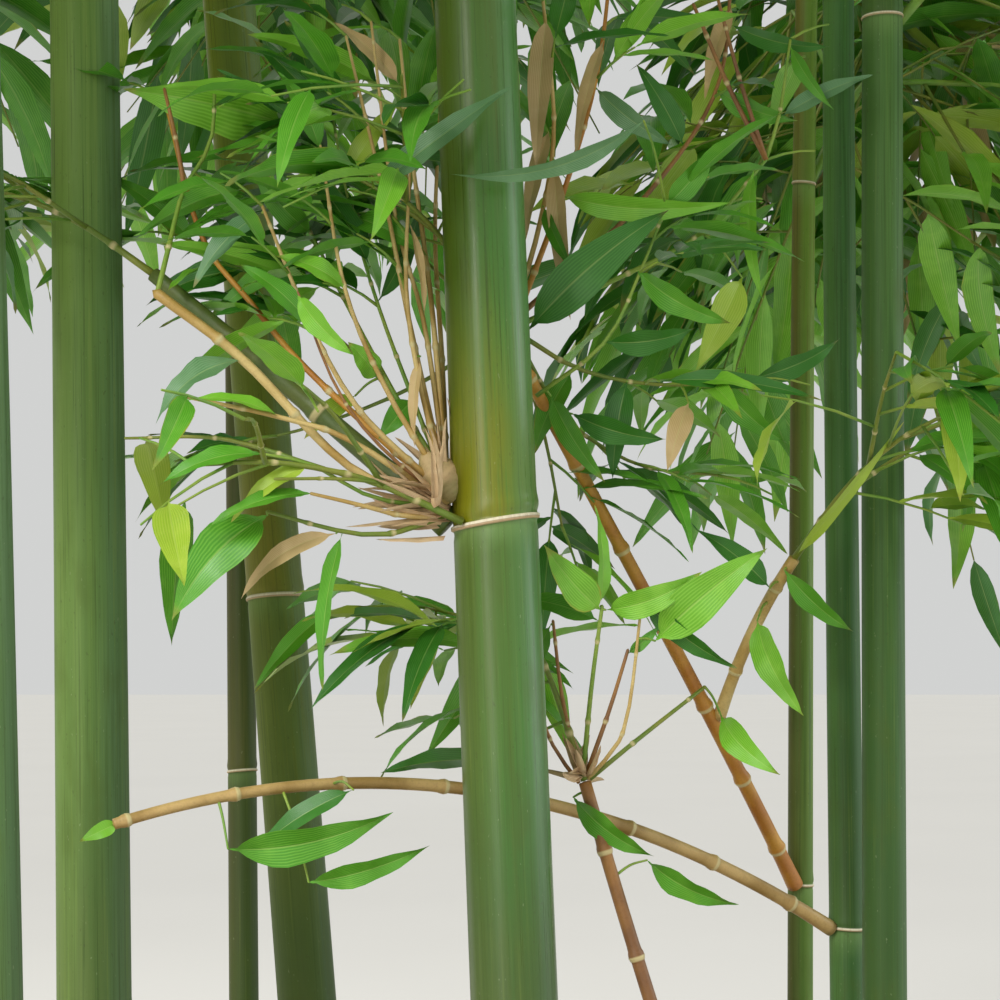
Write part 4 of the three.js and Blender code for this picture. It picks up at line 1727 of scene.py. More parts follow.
@dataclass
class Crown:
    """The masses of foliage above the lowest nodes, carried on to fine twigs and leaves."""

    clump: Clump
    leaf: float = 118.0
    blades: dict[Tone, Blades] = field(default_factory=dict)
    close: dict[Tone, Blades] = field(default_factory=dict)
    stems: Twigs = field(default_factory=lambda: Twigs(5))
    twigs: Twigs = field(default_factory=lambda: Twigs(3))

    SEED = 3100
    SHARES = {
        Tone.MID: 0.42, Tone.BRIGHT: 0.28, Tone.DARK: 0.16, Tone.YELLOW: 0.1, Tone.DRIED: 0.04
    }

    def tone(self, draw: float) -> Tone:
        """Deal a tone.

        Args:
            draw: A number from 0 to 1.

        Returns:
            The tone in whose share it lies.
        """
        for tone, share in self.SHARES.items():
            if draw < share:
                return tone
            draw -= share
        return Tone.MID

    def spray(self, mass: Mass, points: Array, azimuth: float, dice: Dice) -> None:
        """Add the leaves of one fine twig, alternately to its sides, and one at its end.

        Args:
            mass: The mass that it belongs to.
            points: The twig's points.
            azimuth: Its azimuth.
            dice: Random numbers.
        """
        line = Spine.through(points)
        total = line.lengths[-1]
        count = 5 if total < self.leaf * 1.2 else 8
        tone = self.tone(dice.between(0, 1))
        shares = np.linspace(0.44 if count == 5 else 0.28, 1.0, count)
        roots = line.at(shares * total)
        slope = math.degrees(math.asin(unit(points[-1] - points[-2])[2]))
        rows = []
        for i, root in enumerate(roots):
            end = i == count - 1
            turn = dice.between(-12, 12) if end else (1 if i % 2 else -1) * dice.between(28, 62)
            rise = slope * 0.5 + dice.between(-42, 8)
            length = self.leaf * dice.between(0.72, 1.12)
            forward, face = leaf_way(azimuth + turn, rise, dice.between(-40, 40))
            tip = root + forward * length
            rows.append((root, tip, face, length, dice.between(0.02, 0.14), dice.between(0, 1)))
        tests = np.array([[root + (tip - root) * 0.5, tip] for root, tip, *_ in rows])
        fits = self.clump.space.fits(tests.reshape(-1, 3), mass).reshape(-1, 2).all(axis=1)
        for (root, tip, face, length, arch, chance), fit in zip(rows, fits):
            if fit:
                close = seen_close(root)
                batch, form = (self.close, VIEW_BLADE) if close else (self.blades, FAR_BLADE)
                batch.setdefault(tone, Blades(form)).add(
                    root, tip, face, length * 0.19, length * arch, 0.0, 0.3, chance
                )

    def grow(self, mass: Mass) -> None:
        """Grow one mass.

        Args:
            mass: The mass.
        """
        dice = Dice(self.SEED + mass.index)
        for number, (points, azimuth, radius) in enumerate(self.clump.shoots(mass)):
            line = smooth_line(points, 4)
            self.stems.add(line, np.linspace(radius, radius * 0.5, len(line)))
            spine = Spine.through(line)
            seats = 13 if number == 0 else 11
            for seat, share in enumerate(np.linspace(0.16, 1.0, seats)):
                root = spine.at(np.array([share * spine.lengths[-1]]))[0]
                for _ in range(4):
                    turn = (1 if seat % 2 else -1) * dice.between(22, 75)
                    if seat == seats - 1:
                        turn = dice.between(-20, 20)
                    rise = dice.between(-62, 56)
                    length = mass.leaf * dice.between(0.55, 0.95)
                    twig = drooping(root, azimuth + turn, rise, length, dice.between(0.08, 0.42))
                    if self.clump.space.fits(twig[1:], mass).all():
                        self.leafy_twig(mass, twig, azimuth + turn, dice)
                        break

    def leafy_twig(self, mass: Mass, twig: Array, azimuth: float, dice: Dice) -> None:
        """Add a fine twig with its leaves and its two side twigs.

        Args:
            mass: The mass that it belongs to.
            twig: Its points.
            azimuth: Its azimuth.
            dice: Random numbers.
        """
        self.twigs.add(twig, np.linspace(1.5, 0.7, len(twig)))
        self.spray(mass, twig, azimuth, dice)
        spine = Spine.through(twig)
        length = spine.lengths[-1]
        for side, share in ((1, 0.3), (-1, 0.55)):
            root = spine.at(np.array([share * length]))[0]
            turn = side * dice.between(30, 55)
            rise = dice.between(-40, 20)
            small = drooping(root, azimuth + turn, rise, length * 0.5, dice.between(0.1, 0.3))
            if self.clump.space.fits(small[1:], mass).all():
                self.twigs.add(small, np.linspace(1.1, 0.6, len(small)))
                self.spray(mass, small, azimuth + turn, dice)

    def build(self) -> None:
        """Grow every crown mass and show them, each kind apart."""
        crown = [mass for mass in self.clump.masses if mass.high]
        for mass in crown:
            self.grow(mass)
        names = [mass.name for mass in crown]
        show(self.stems.mesh("crown_stems"), Wood.GREEN.finish.make(), names)
        show(self.twigs.mesh("crown_twigs"), Wood.OLIVE.finish.make())
        for tone, blades in self.blades.items():
            mesh = blades.mesh(f"crown_leaves_{tone.name.lower()}")
            show(mesh, tone.foliage.make())
        for tone, blades in self.close.items():
            mesh = blades.mesh(f"crown_near_leaves_{tone.name.lower()}")
            show(mesh, tone.blade.make())


Place = tuple[float, float, float]


@dataclass(frozen=True)
class Sprig:
    """A twig near the front, by points as seen from there: across, up and depth."""

    points: tuple[Place, ...]
    start: float
    end: float
    wood: Wood = Wood.STRAW
    pitch: float = 46.0
    tufts: int = 0


@dataclass(frozen=True)
class Leaf:
    """A leaf near the front, by its root and tip as seen from there: across, up and depth."""

    root: Place
    tip: Place
    width: float
    tone: Tone = Tone.MID
    turn: float = 0.0
    arch: float = 6.0
    sweep: float = 0.0


FAN_TWIGS = (
    Sprig(((-9, 1040, 2), (-18, 1142, 12), (-29, 1224, 26), (-36, 1290, 40)), 1.9, 0.9, tufts=3),
    Sprig(((-9, 1036, 4), (-12, 1110, 22), (-16, 1180, 34), (-13, 1260, 50)), 1.8, 0.9, tufts=3),
    Sprig(((-10, 1040, -2), (-30, 1130, 4), (-44, 1200, 14), (-66, 1292, 26)), 1.9, 0.8, tufts=4),
    Sprig(((-8, 1032, -6), (-62, 1050, -16), (-122, 1110, -22), (-170, 1147, -26)), 2.0, 3.1,
          Wood.STRAW, 58),
    Sprig(((-9, 1030, -8), (-62, 1065, -20), (-101, 1078, -30), (-156, 1090, -34)), 2.1, 1.0),
    Sprig(((-9, 1024, -8), (-40, 1014, -18), (-66, 1015, -24), (-108, 1026, -30)), 1.7, 1.0,
          Wood.OLIVE),
    Sprig(((-11, 1046, 6), (-36, 1087, 22), (-68, 1147, 40), (-85, 1181, 52), (-104, 1214, 64)),
          1.7, 0.8, Wood.GREEN, tufts=4),
    Sprig(((-10, 1042, 0), (-28, 1088, 10), (-48, 1142, 22), (-64, 1198, 34), (-76, 1262, 40)),
          1.5, 0.6, Wood.GREEN, tufts=4),
    Sprig(((-12, 1044, 8), (-40, 1092, 28), (-74, 1126, 46), (-100, 1148, 60), (-150, 1176, 78)),
          1.7, 0.8, Wood.OLIVE, tufts=4),
    Sprig(((-9, 1028, -8), (-50, 1034, -24), (-84, 1052, -38), (-112, 1058, -48)), 1.4, 0.8,
          Wood.GREEN),
    Sprig(((-8, 1022, -6), (-34, 1024, -20), (-58, 1030, -32), (-84, 1036, -40)), 1.8, 0.9),
    Sprig(((-9, 1040, 2), (-22, 1130, 8), (-38, 1190, 18), (-52, 1300, 32)), 1.7, 0.8, tufts=3),
    Sprig(((-10, 1042, 0), (-24, 1096, -4), (-32, 1150, -2), (-30, 1216, 8)), 1.9, 0.9, tufts=3),
    Sprig(((-10, 1040, -4), (-42, 1092, -12), (-66, 1150, -10), (-80, 1230, 2)), 1.8, 0.8, tufts=3),
    Sprig(((-10, 1036, -6), (-56, 1080, -18), (-84, 1128, -20), (-112, 1196, -16)), 1.9, 0.9,
          Wood.STRAW, 38, tufts=3),
    Sprig(((-9, 1032, -8), (-44, 1060, -24), (-70, 1094, -34), (-92, 1148, -40)), 1.2, 0.6,
          Wood.BROWN),
    Sprig(((-9, 1026, -8), (-38, 1040, -26), (-66, 1044, -40), (-104, 1044, -54)), 1.4, 0.8,
          Wood.OLIVE),
    Sprig(((-10, 1034, -4), (-84, 1102, 8), (-118, 1142, 18), (-146, 1180, 28), (-166, 1254, 38)),
          2.2, 1.3, Wood.ORANGE, 52, tufts=1),
    Sprig(((-170, 1146, -26), (-163, 1176, -10), (-156, 1204, 4), (-141, 1232, 14),
           (-139, 1266, 20)), 1.6, 1.0, Wood.GREEN),
    Sprig(((-155, 1204, 4), (-160, 1232, 8), (-167, 1262, 10)), 1.5, 1.0, Wood.BROWN),
)

RIGHT_TWIGS = (
    Sprig(((26, 1130, 56), (42, 1186, 60), (50, 1240, 58), (44, 1312, 50)), 1.8, 1.0, tufts=2),
    Sprig(((28, 1130, 56), (56, 1206, 62), (74, 1270, 66), (82, 1330, 70)), 1.9, 1.1,
          Wood.ORANGE, tufts=3),
    Sprig(((28, 1128, 56), (78, 1152, 74), (130, 1180, 84), (168, 1222, 88)), 1.8, 1.0,
          Wood.GREEN, tufts=4),
    Sprig(((28, 1126, 56), (66, 1104, 72), (112, 1096, 88), (160, 1100, 96)), 1.6, 0.8,
          Wood.OLIVE, tufts=4),
    Sprig(((40, 1090, 62), (78, 1120, 50), (98, 1160, 46), (112, 1196, 42)), 1.4, 0.8,
          Wood.GREEN, tufts=3),
    Sprig(((28, 1132, 56), (96, 1196, 78), (140, 1260, 92), (150, 1330, 100)), 1.8, 1.0,
          Wood.BROWN, tufts=3),
    Sprig(((168, 1222, 88), (176, 1250, 90), (182, 1290, 92)), 1.2, 0.9, Wood.GREEN, tufts=2),
    Sprig(((28, 1124, 56), (56, 1078, 84), (96, 1052, 104), (140, 1046, 116)), 1.5, 0.8,
          Wood.OLIVE, tufts=4),
    Sprig(((28, 1122, 58), (44, 1070, 80), (54, 1018, 96)), 1.3, 0.8, Wood.OLIVE, tufts=3),
    Sprig(((20, 1124, 60), (-30, 1094, 84), (-80, 1074, 104), (-130, 1062, 116)), 1.5, 0.8,
          Wood.OLIVE, tufts=2),
    Sprig(((22, 1126, 60), (-16, 1160, 90), (-52, 1190, 112), (-96, 1206, 126)), 1.5, 0.8,
          Wood.OLIVE, tufts=3),
    Sprig(((168, 1222, 88), (148, 1262, 84), (128, 1310, 80)), 1.7, 1.1, Wood.BROWN, 30),
    Sprig(((168, 1222, 88), (154, 1266, 80), (142, 1312, 76)), 1.5, 1.0, Wood.BROWN, 30),
)

SHOOT_TWIGS = (
    Sprig(((65, 880, 50), (70, 930, 46), (76, 974, 40)), 1.6, 1.1, Wood.GREEN),
    Sprig(((64, 880, 50), (54, 924, 48), (49, 966, 46)), 1.5, 0.9, Wood.BROWN),
    Sprig(((67, 882, 50), (80, 918, 46), (90, 950, 44)), 1.5, 1.0, Wood.BROWN),
    Sprig(((68, 880, 50), (88, 908, 44), (98, 978, 38)), 1.3, 0.8, Wood.STRAW),
    Sprig(((69, 880, 50), (96, 902, 60), (132, 930, 84)), 1.5, 1.1, Wood.OLIVE),
    Sprig(((63, 878, 50), (50, 896, 40), (40, 920, 34)), 1.3, 0.9, Wood.BROWN),
)

FAN_LEAVES = (
    Leaf((-99, 1242, 66), (-190, 1262, 34), 34, Tone.BRIGHT, -28, 14, 10),
    Leaf((-55, 1222, 20), (-122, 1196, 10), 9, Tone.BRIGHT, 20, 5),
    Leaf((-84, 1180, 52), (-117, 1216, 40), 16, Tone.MID, -20),
    Leaf((-52, 1162, 26), (-92, 1222, 30), 17, Tone.DARK, 30),
    Leaf((-84, 1172, 52), (-142, 1132, 30), 15, Tone.MID, 25, 8),
    Leaf((-122, 1110, -22), (-170, 1074, -34), 22, Tone.BLUE, 55, 10),
    Leaf((-101, 1078, -30), (-155, 1087, -44), 12, Tone.BRIGHT, 62),
    Leaf((-66, 1016, -24), (-77, 928, -22), 15, Tone.MID, 55, 5),
    Leaf((-108, 1024, -30), (-160, 966, -46), 27, Tone.MID, 15, 10, 4),
    Leaf((-70, 1014, -24), (-122, 978, -14), 12, Tone.DRIED, 30, 8, 4),
    Leaf((-28, 1088, 10), (-47, 1066, -2), 14, Tone.MID, 10, 2),
    Leaf((-48, 1100, 22), (-64, 1120, 10), 15, Tone.BRIGHT, 20, 3),
    Leaf((-60, 1090, 30), (-88, 1066, 12), 14, Tone.YELLOW, 30, 4),
    Leaf((-62, 1190, 34), (-20, 1168, 10), 16, Tone.MID, -25),
    Leaf((-70, 1240, 40), (-118, 1290, 50), 16, Tone.DARK, 20),
    Leaf((-66, 1210, 34), (-36, 1254, 44), 14, Tone.YELLOW, -30, 5),
    Leaf((-48, 1142, 22), (-24, 1200, 30), 13, Tone.DARK, 40),
    Leaf((-100, 1150, 60), (-140, 1190, 84), 18, Tone.DARK, 30, 8),
    Leaf((-120, 1160, 68), (-176, 1140, 70), 20, Tone.DARK, 40, 8),
    Leaf((-150, 1176, 78), (-196, 1212, 86), 16, Tone.MID, 30),
    Leaf((-112, 1058, -48), (-168, 1040, -60), 15, Tone.MID, 50, 7),
    Leaf((-84, 1052, -38), (-128, 1020, -40), 13, Tone.YELLOW, 45),
    Leaf((-84, 1036, -40), (-142, 1016, -52), 14, Tone.MID, 58),
    Leaf((-36, 1264, 38), (-74, 1300, 44), 13, Tone.DRIED, 40, 5),
    Leaf((-24, 1112, -3), (-27, 1062, -10), 8, Tone.DRIED, 40, 3),
    Leaf((-30, 1186, 6), (-22, 1132, 0), 7, Tone.DRIED, 50, 3),
    Leaf((-84, 1128, -20), (-126, 1164, -30), 14, Tone.MID, 35),
    Leaf((-112, 1192, -16), (-150, 1150, -30), 15, Tone.BLUE, 40, 7),
    Leaf((-92, 1146, -40), (-60, 1112, -50), 14, Tone.BRIGHT, 30, 5),
    Leaf((-80, 1226, 2), (-104, 1272, 4), 14, Tone.MID, 35),
    Leaf((-66, 1150, -10), (-106, 1168, -26), 14, Tone.BRIGHT, 40),
)

RIGHT_LEAVES = (
    Leaf((-50, 1206, -30), (27, 1264, -44), 16, Tone.BLUE, -34, 9, 5),
    Leaf((100, 1244, -30), (-8, 1214, -44), 13, Tone.BLUE, -38, 8, -8),
    Leaf((53, 1202, 60), (148, 1198, 34), 16, Tone.BRIGHT, 18, 6, 4),
    Leaf((36, 1127, 50), (114, 1194, 34), 27, Tone.DARK, 10, 8, -6),
    Leaf((50, 1222, 58), (59, 1132, 46), 12, Tone.DRIED, 20, 4),
    Leaf((44, 1196, 58), (62, 1158, 40), 9, Tone.MID, 30, 3),
    Leaf((154, 1156, 84), (128, 1104, 70), 20, Tone.YELLOW, -10, 5),
    Leaf((108, 1098, 60), (199, 1087, 52), 13, Tone.DARK, -34, 5, -3),
    Leaf((124, 1086, 80), (112, 1048, 66), 14, Tone.DRIED, 10, 4),
    Leaf((161, 1216, 86), (166, 1142, 64), 11, Tone.BRIGHT, 25, 4, 4),
    Leaf((96, 1160, 46), (150, 1130, 40), 18, Tone.MID, 35, 8),
    Leaf((112, 1196, 42), (140, 1230, 40), 15, Tone.MID, 20, 5),
    Leaf((78, 1120, 50), (128, 1128, 60), 17, Tone.DARK, 30, 7),
    Leaf((60, 1104, 72), (38, 1056, 80), 16, Tone.MID, 25),
    Leaf((90, 1098, 80), (82, 1044, 84), 17, Tone.DARK, 15),
    Leaf((140, 1100, 92), (178, 1064, 100), 18, Tone.MID, 30, 7),
    Leaf((160, 1100, 96), (208, 1122, 104), 16, Tone.DARK, 35),
    Leaf((122, 1230, 86), (96, 1276, 84), 15, Tone.DARK, 20, 5),
    Leaf((140, 1262, 92), (186, 1244, 96), 16, Tone.MID, 35),
    Leaf((74, 1262, 66), (116, 1230, 60), 15, Tone.BLUE, 25),
    Leaf((150, 1298, 98), (204, 1286, 100), 15, Tone.DARK, 40),
    Leaf((182, 1286, 92), (206, 1250, 80), 10, Tone.MID, 30, 4),
    Leaf((176, 1246, 90), (228, 1270, 94), 12, Tone.BLUE, -30, 5),
    Leaf((60, 1080, 66), (112, 1066, 70), 17, Tone.DARK, 28, 7),
    Leaf((48, 1090, 62), (78, 1042, 58), 15, Tone.MID, 22),
    Leaf((46, 1304, 52), (40, 1216, 48), 15, Tone.DRIED, 12, 5),
    Leaf((48, 1240, 58), (34, 1176, 54), 12, Tone.DRIED, 35, 4),
    Leaf((78, 1290, 66), (62, 1222, 60), 11, Tone.DRIED, 40, 4),
    Leaf((150, 1310, 98), (134, 1256, 92), 12, Tone.DRIED, 30, 4),
)

SHOOT_LEAVES = (
    Leaf((75, 972, 40), (44, 1008, 20), 20, Tone.BRIGHT, 10, 6, -3),
    Leaf((75, 974, 40), (72, 1030, 40), 11, Tone.BRIGHT, 50, 4),
    Leaf((78, 972, 40), (131, 993, 24), 17, Tone.BRIGHT, 12, 6, 3),
    Leaf((105, 955, 42), (167, 1006, 18), 25, Tone.BRIGHT, 6, 8, -3),
    Leaf((74, 966, 42), (28, 978, 52), 15, Tone.MID, 30),
    Leaf((90, 948, 44), (108, 964, 42), 7, Tone.MID, 20, 2),
    Leaf((48, 964, 46), (36, 930, 60), 13, Tone.MID, 30, 4),
    Leaf((98, 978, 38), (150, 940, 44), 14, Tone.DARK, 35),
)

FORK_LEAVES = (
    Leaf((181, 1000, 124), (243, 1076, 70), 9, Tone.YELLOW, 40, 6, -4),
    Leaf((161, 966, 110), (186, 914, 84), 20, Tone.BRIGHT, 30, 8),
    Leaf((141, 914, 104), (173, 882, 70), 17, Tone.BRIGHT, 10, 6, 3),
    Leaf((176, 994, 122), (214, 960, 130), 15, Tone.MID, 30),
    Leaf((168, 984, 118), (128, 1016, 112), 16, Tone.DARK, 25),
)

LOW_LEAVES = (
    Leaf((-128, 842, 0), (-38, 862, -6), 22, Tone.MID, 26, 8, 3),
    Leaf((-84, 824, 0), (-18, 844, -10), 15, Tone.MID, 30),
    Leaf((-188, 856, -8), (-209, 846, -14), 9, Tone.BRIGHT, 10, 1),
    Leaf((-60, 874, 4), (-116, 838, 10), 14, Tone.DARK, 35),
    Leaf((60, 870, 52), (104, 838, 50), 16, Tone.MID, 35, 7),
    Leaf((100, 836, 66), (150, 812, 60), 17, Tone.MID, 40, 7),
)


# Where the photograph shows bare limbs: least and greatest across, least and greatest up, depth
BARE_VIEWS = (
    (-135, 4, 1000, 1092, 70),
    (-16, 46, 780, 1320, 40),
    (190, 246, 760, 1320, 260),
    (-226, -184, 760, 1320, 60),
)


def hides_bare_limb(point: Array) -> bool:
    """Tell whether a leaf would hide a limb that shows bare from the front.

    Args:
        point: A point of the leaf.

    Returns:
        Whether it lies in front of such a limb.
    """
    share = (FRONT_PLANE - EYE[1]) / (point[1] - EYE[1])
    across, _, up = EYE + (point - EYE) * share
    return any(
        left < across < right and low < up < high and point[1] - FRONT_PLANE < depth
        for left, right, low, high, depth in BARE_VIEWS
    )


@dataclass
class FrontSprays:
    """The low twigs and leaves round the front culm's ring, where most of them show."""

    clump: Clump
    leaf: float = 95.0
    tuft_length: float = 34
    sides: int = 7
    blades: dict[Tone, Blades] = field(default_factory=dict)
    twigs: dict[Wood, Twigs] = field(default_factory=dict)
    carriers: list[Array] = field(default_factory=list)

    FILL_SEED, TUFT_SEED, LEAF_SEED = 5200, 700, 77

    def twig_batch(self, wood: Wood) -> Twigs:
        """Return the batch of a skin."""
        return self.twigs.setdefault(wood, Twigs(self.sides))

    def blade_batch(self, tone: Tone) -> Blades:
        """Return the batch of a tone."""
        return self.blades.setdefault(tone, Blades(NEAR_BLADE))

    def place_twig(self, twig: Sprig) -> None:
        """Add a placed twig, which leaves may then stand on.

        Args:
            twig: The twig.
        """
        points = np.array([seen_from_front(*point) for point in twig.points])
        self.twig_batch(twig.wood).jointed(points, twig.start, twig.end, twig.pitch)
        line = smooth_line(points, 24)
        self.carriers.append(line)
        for number in range(twig.tufts):
            self.tuft(line, 1 - 0.17 * number, (1 if number % 2 else -1) * 34 * min(number, 1))

    def tuft(self, line: Array, share: float, turn: float) -> None:
        """Add a tuft of leaves to a placed twig.

        Args:
            line: The twig's points.
            share: Where along it the tuft stands.
            turn: How far it turns from the twig's way, in degrees.
        """
        at = int(share * (len(line) - 1))
        dice = Dice(self.TUFT_SEED + len(self.carriers) * 8 + int(share * 100))
        run = unit(line[at] - line[max(at - 6, 0)])
        azimuth = math.degrees(math.atan2(run[1], run[0])) + turn + dice.between(-12, 12)
        rise = math.degrees(math.asin(run[2])) * 0.55 + dice.between(-12, 12)
        twig = drooping(line[at], azimuth, rise, self.tuft_length, 7 / self.tuft_length)
        tone = (Tone.MID, Tone.BRIGHT, Tone.DARK, Tone.MID)[int(dice.between(0, 3.99))]
        self.twig_batch(Wood.GREEN).add(twig, np.linspace(1.0, 0.6, 4))
        for i, part in enumerate((0.4, 0.6, 0.8, 1.0)):
            root = Spine.through(twig).at(np.array([part * self.tuft_length]))[0]
            side = 1 if i % 2 else -1
            spread = dice.between(-10, 10) if i == 3 else side * dice.between(28, 55)
            forward = heading(azimuth + spread, rise * 0.5 + dice.between(-48, 10))
            length = dice.between(56, 84)
            roll = heading(azimuth + spread + 90, dice.between(-40, 40))
            face = np.cross(forward, np.cross(np.cross(forward, roll), forward))
            tip = root + forward * length
            if not hides_bare_limb((root + tip) / 2) and not hides_bare_limb(tip):
                self.blade_batch(tone).add(
                    root, tip, face, length * dice.between(0.17, 0.23),
                    length * dice.between(0.03, 0.1), 0.0, 0.25, dice.between(0, 1)
                )

    def place_leaf(self, leaf: Leaf, chance: float) -> None:
        """Add a placed leaf, with a stalk from the nearest twig or bough to its root.

        Args:
            leaf: The leaf.
            chance: A number from 0 to 1 that varies its edges and its tip.
        """
        root, tip = seen_from_front(*leaf.root), seen_from_front(*leaf.tip)
        carriers = np.concatenate(self.carriers)
        near = carriers[np.linalg.norm(carriers - root, axis=1).argmin()]
        gap = np.linalg.norm(near - root)
        if gap > 1.0:
            middle = (near + root) / 2 + Z_AXIS * gap * 0.08
            self.twig_batch(Wood.GREEN).add(
                smooth_line(np.array([near, middle, root]), 4), np.linspace(0.9, 0.6, 9)
            )
        forward = unit(tip - root)
        toward = unit(EYE - (root + tip) / 2)
        side = unit(np.cross(forward, toward))
        turn = math.radians(leaf.turn)
        face = np.cross(side, forward) * math.cos(turn) + side * math.sin(turn)
        if face[2] < 0 and abs(leaf.turn) > 45:
            face = -face
        batch = self.blade_batch(leaf.tone)
        batch.add(root, tip, face, leaf.width, leaf.arch, leaf.sweep, 0.22, chance)

    def fill(self, mass: Mass) -> None:
        """Grow a low mass by the crown's rule, with leaves of their real size.

        Args:
            mass: The mass.
        """
        seats, first = (3, 0.72) if mass.name == "foliage_node_fan" else (8, 0.3)
        dice = Dice(self.FILL_SEED + mass.index)
        for points, azimuth, radius in self.clump.shoots(mass):
            line = smooth_line(points, 5)
            self.twig_batch(Wood.OLIVE).jointed(line, radius * 0.62, radius * 0.3, 40)
            self.carriers.append(line)
            spine = Spine.through(line)
            for seat, share in enumerate(np.linspace(first, 1.0, seats)):
                root = spine.at(np.array([share * spine.lengths[-1]]))[0]
                turn = (1 if seat % 2 else -1) * dice.between(25, 70)
                rise = dice.between(-30, 35)
                length = mass.leaf * dice.between(0.3, 0.55)
                twig = drooping(root, azimuth + turn, rise, length, 0.15)
                if self.clump.space.fits(twig[1:], mass).all():
                    self.spray(mass, twig, azimuth + turn, dice)

    def spray(self, mass: Mass, twig: Array, azimuth: float, dice: Dice) -> None:
        """Add a fine twig and the three or four leaves at its end, if any of them fits.

        Args:
            mass: The mass that it belongs to.
            twig: Its points.
            azimuth: Its azimuth.
            dice: Random numbers.
        """
        spine = Spine.through(twig)
        rows = []
        tone = (Tone.MID, Tone.DARK, Tone.MID, Tone.BRIGHT, Tone.YELLOW)[int(dice.between(0, 4.99))]
        for i, share in enumerate((0.45, 0.7, 0.88, 1.0)):
            root = spine.at(np.array([share * spine.lengths[-1]]))[0]
            turn = dice.between(-12, 12) if i == 3 else (1 if i % 2 else -1) * dice.between(30, 60)
            rise = dice.between(-50, 12)
            length = self.leaf * dice.between(0.7, 1.1)
            forward, face = leaf_way(azimuth + turn, rise, dice.between(-45, 45))
            tip = root + forward * length
            if any(hides_bare_limb(root + (tip - root) * part) for part in (0.1, 0.5, 0.9)):
                continue
            if self.clump.space.fits(np.array([(root + tip) / 2, tip]), mass).all():
                width = length * dice.between(0.17, 0.23)
                arch = length * dice.between(0.03, 0.12)
                rows.append((root, tip, face, width, arch, 0.0, 0.25, dice.between(0, 1)))
        if rows:
            self.twig_batch(Wood.GREEN).add(twig, np.linspace(1.0, 0.6, len(twig)))
        for row in rows:
            self.blade_batch(tone).add(*row)

    def build(self) -> None:
        """Build the low masses and show them, each kind apart."""
        self.carriers += [bough.curve(FINE_STEPS) for bough in self.clump.boughs.values()]
        low = [mass for mass in self.clump.masses if not mass.high]
        for mass in low:
            self.fill(mass)
        for twig in (*FAN_TWIGS, *RIGHT_TWIGS, *SHOOT_TWIGS):
            self.place_twig(twig)
        dice = Dice(self.LEAF_SEED)
        for leaf in (*FAN_LEAVES, *RIGHT_LEAVES, *SHOOT_LEAVES, *FORK_LEAVES, *LOW_LEAVES):
            self.place_leaf(leaf, dice.between(0, 1))
        names = [mass.name for mass in low]
        for wood, twigs in self.twigs.items():
            piece = show(twigs.mesh(f"low_twigs_{wood.name.lower()}"), wood.finish.make())
            if wood is Wood.OLIVE:
                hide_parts(*names)
        for tone, blades in self.blades.items():
            show(blades.mesh(f"low_leaves_{tone.name.lower()}"), tone.blade.make())


@dataclass
class BranchBud:
    """The round bud beside the front culm, where its thickest branch leaves."""

    clump: Clump
    radius: float = 12.5
    length: float = 32.0
    scales: float = 40
    sides: int = 28

    def build(self) -> Piece:
        """Build the bud, ringed by the scars of its scales.

        Returns:
            The piece.
        """
        t = np.linspace(0, 1, 26)
        radii = self.radius * np.sin(math.pi * (0.14 + 0.86 * t)) ** 0.62 * (1 - 0.18 * t)
        radii = radii * (1 - 0.05 * (np.sin(t * self.scales) > 0.7))
        profile = [(0.0, 0.0), *zip(radii[:-1], t[:-1] * self.length), (0.0, self.length)]
        mesh, local = settled(turned(profile, self.sides), "branch_bud")
        front = self.clump.culms["culm_front"]
        foot = front.axis(front.node + 13) + np.array([-float(front.radius(front.node)) + 3, -3, 0])
        end = foot + self.length * heading(186, 52)
        line = foot + (end - foot) * np.linspace(0, 1, 12)[:, None]
        place_vertices(mesh, Spine.through(line).bend(local))
        rings = np.abs(np.sin(local[:, 2] * self.scales / self.length)) < 0.2
        set_attribute(mesh, "scar", np.stack([rings, rings, rings], -1).astype(float) * 0.5)
        finish = BranchFinish("branch bud", "8f9450", "c0a476", "b7a877", 0.6)
        return show(mesh, finish.make())


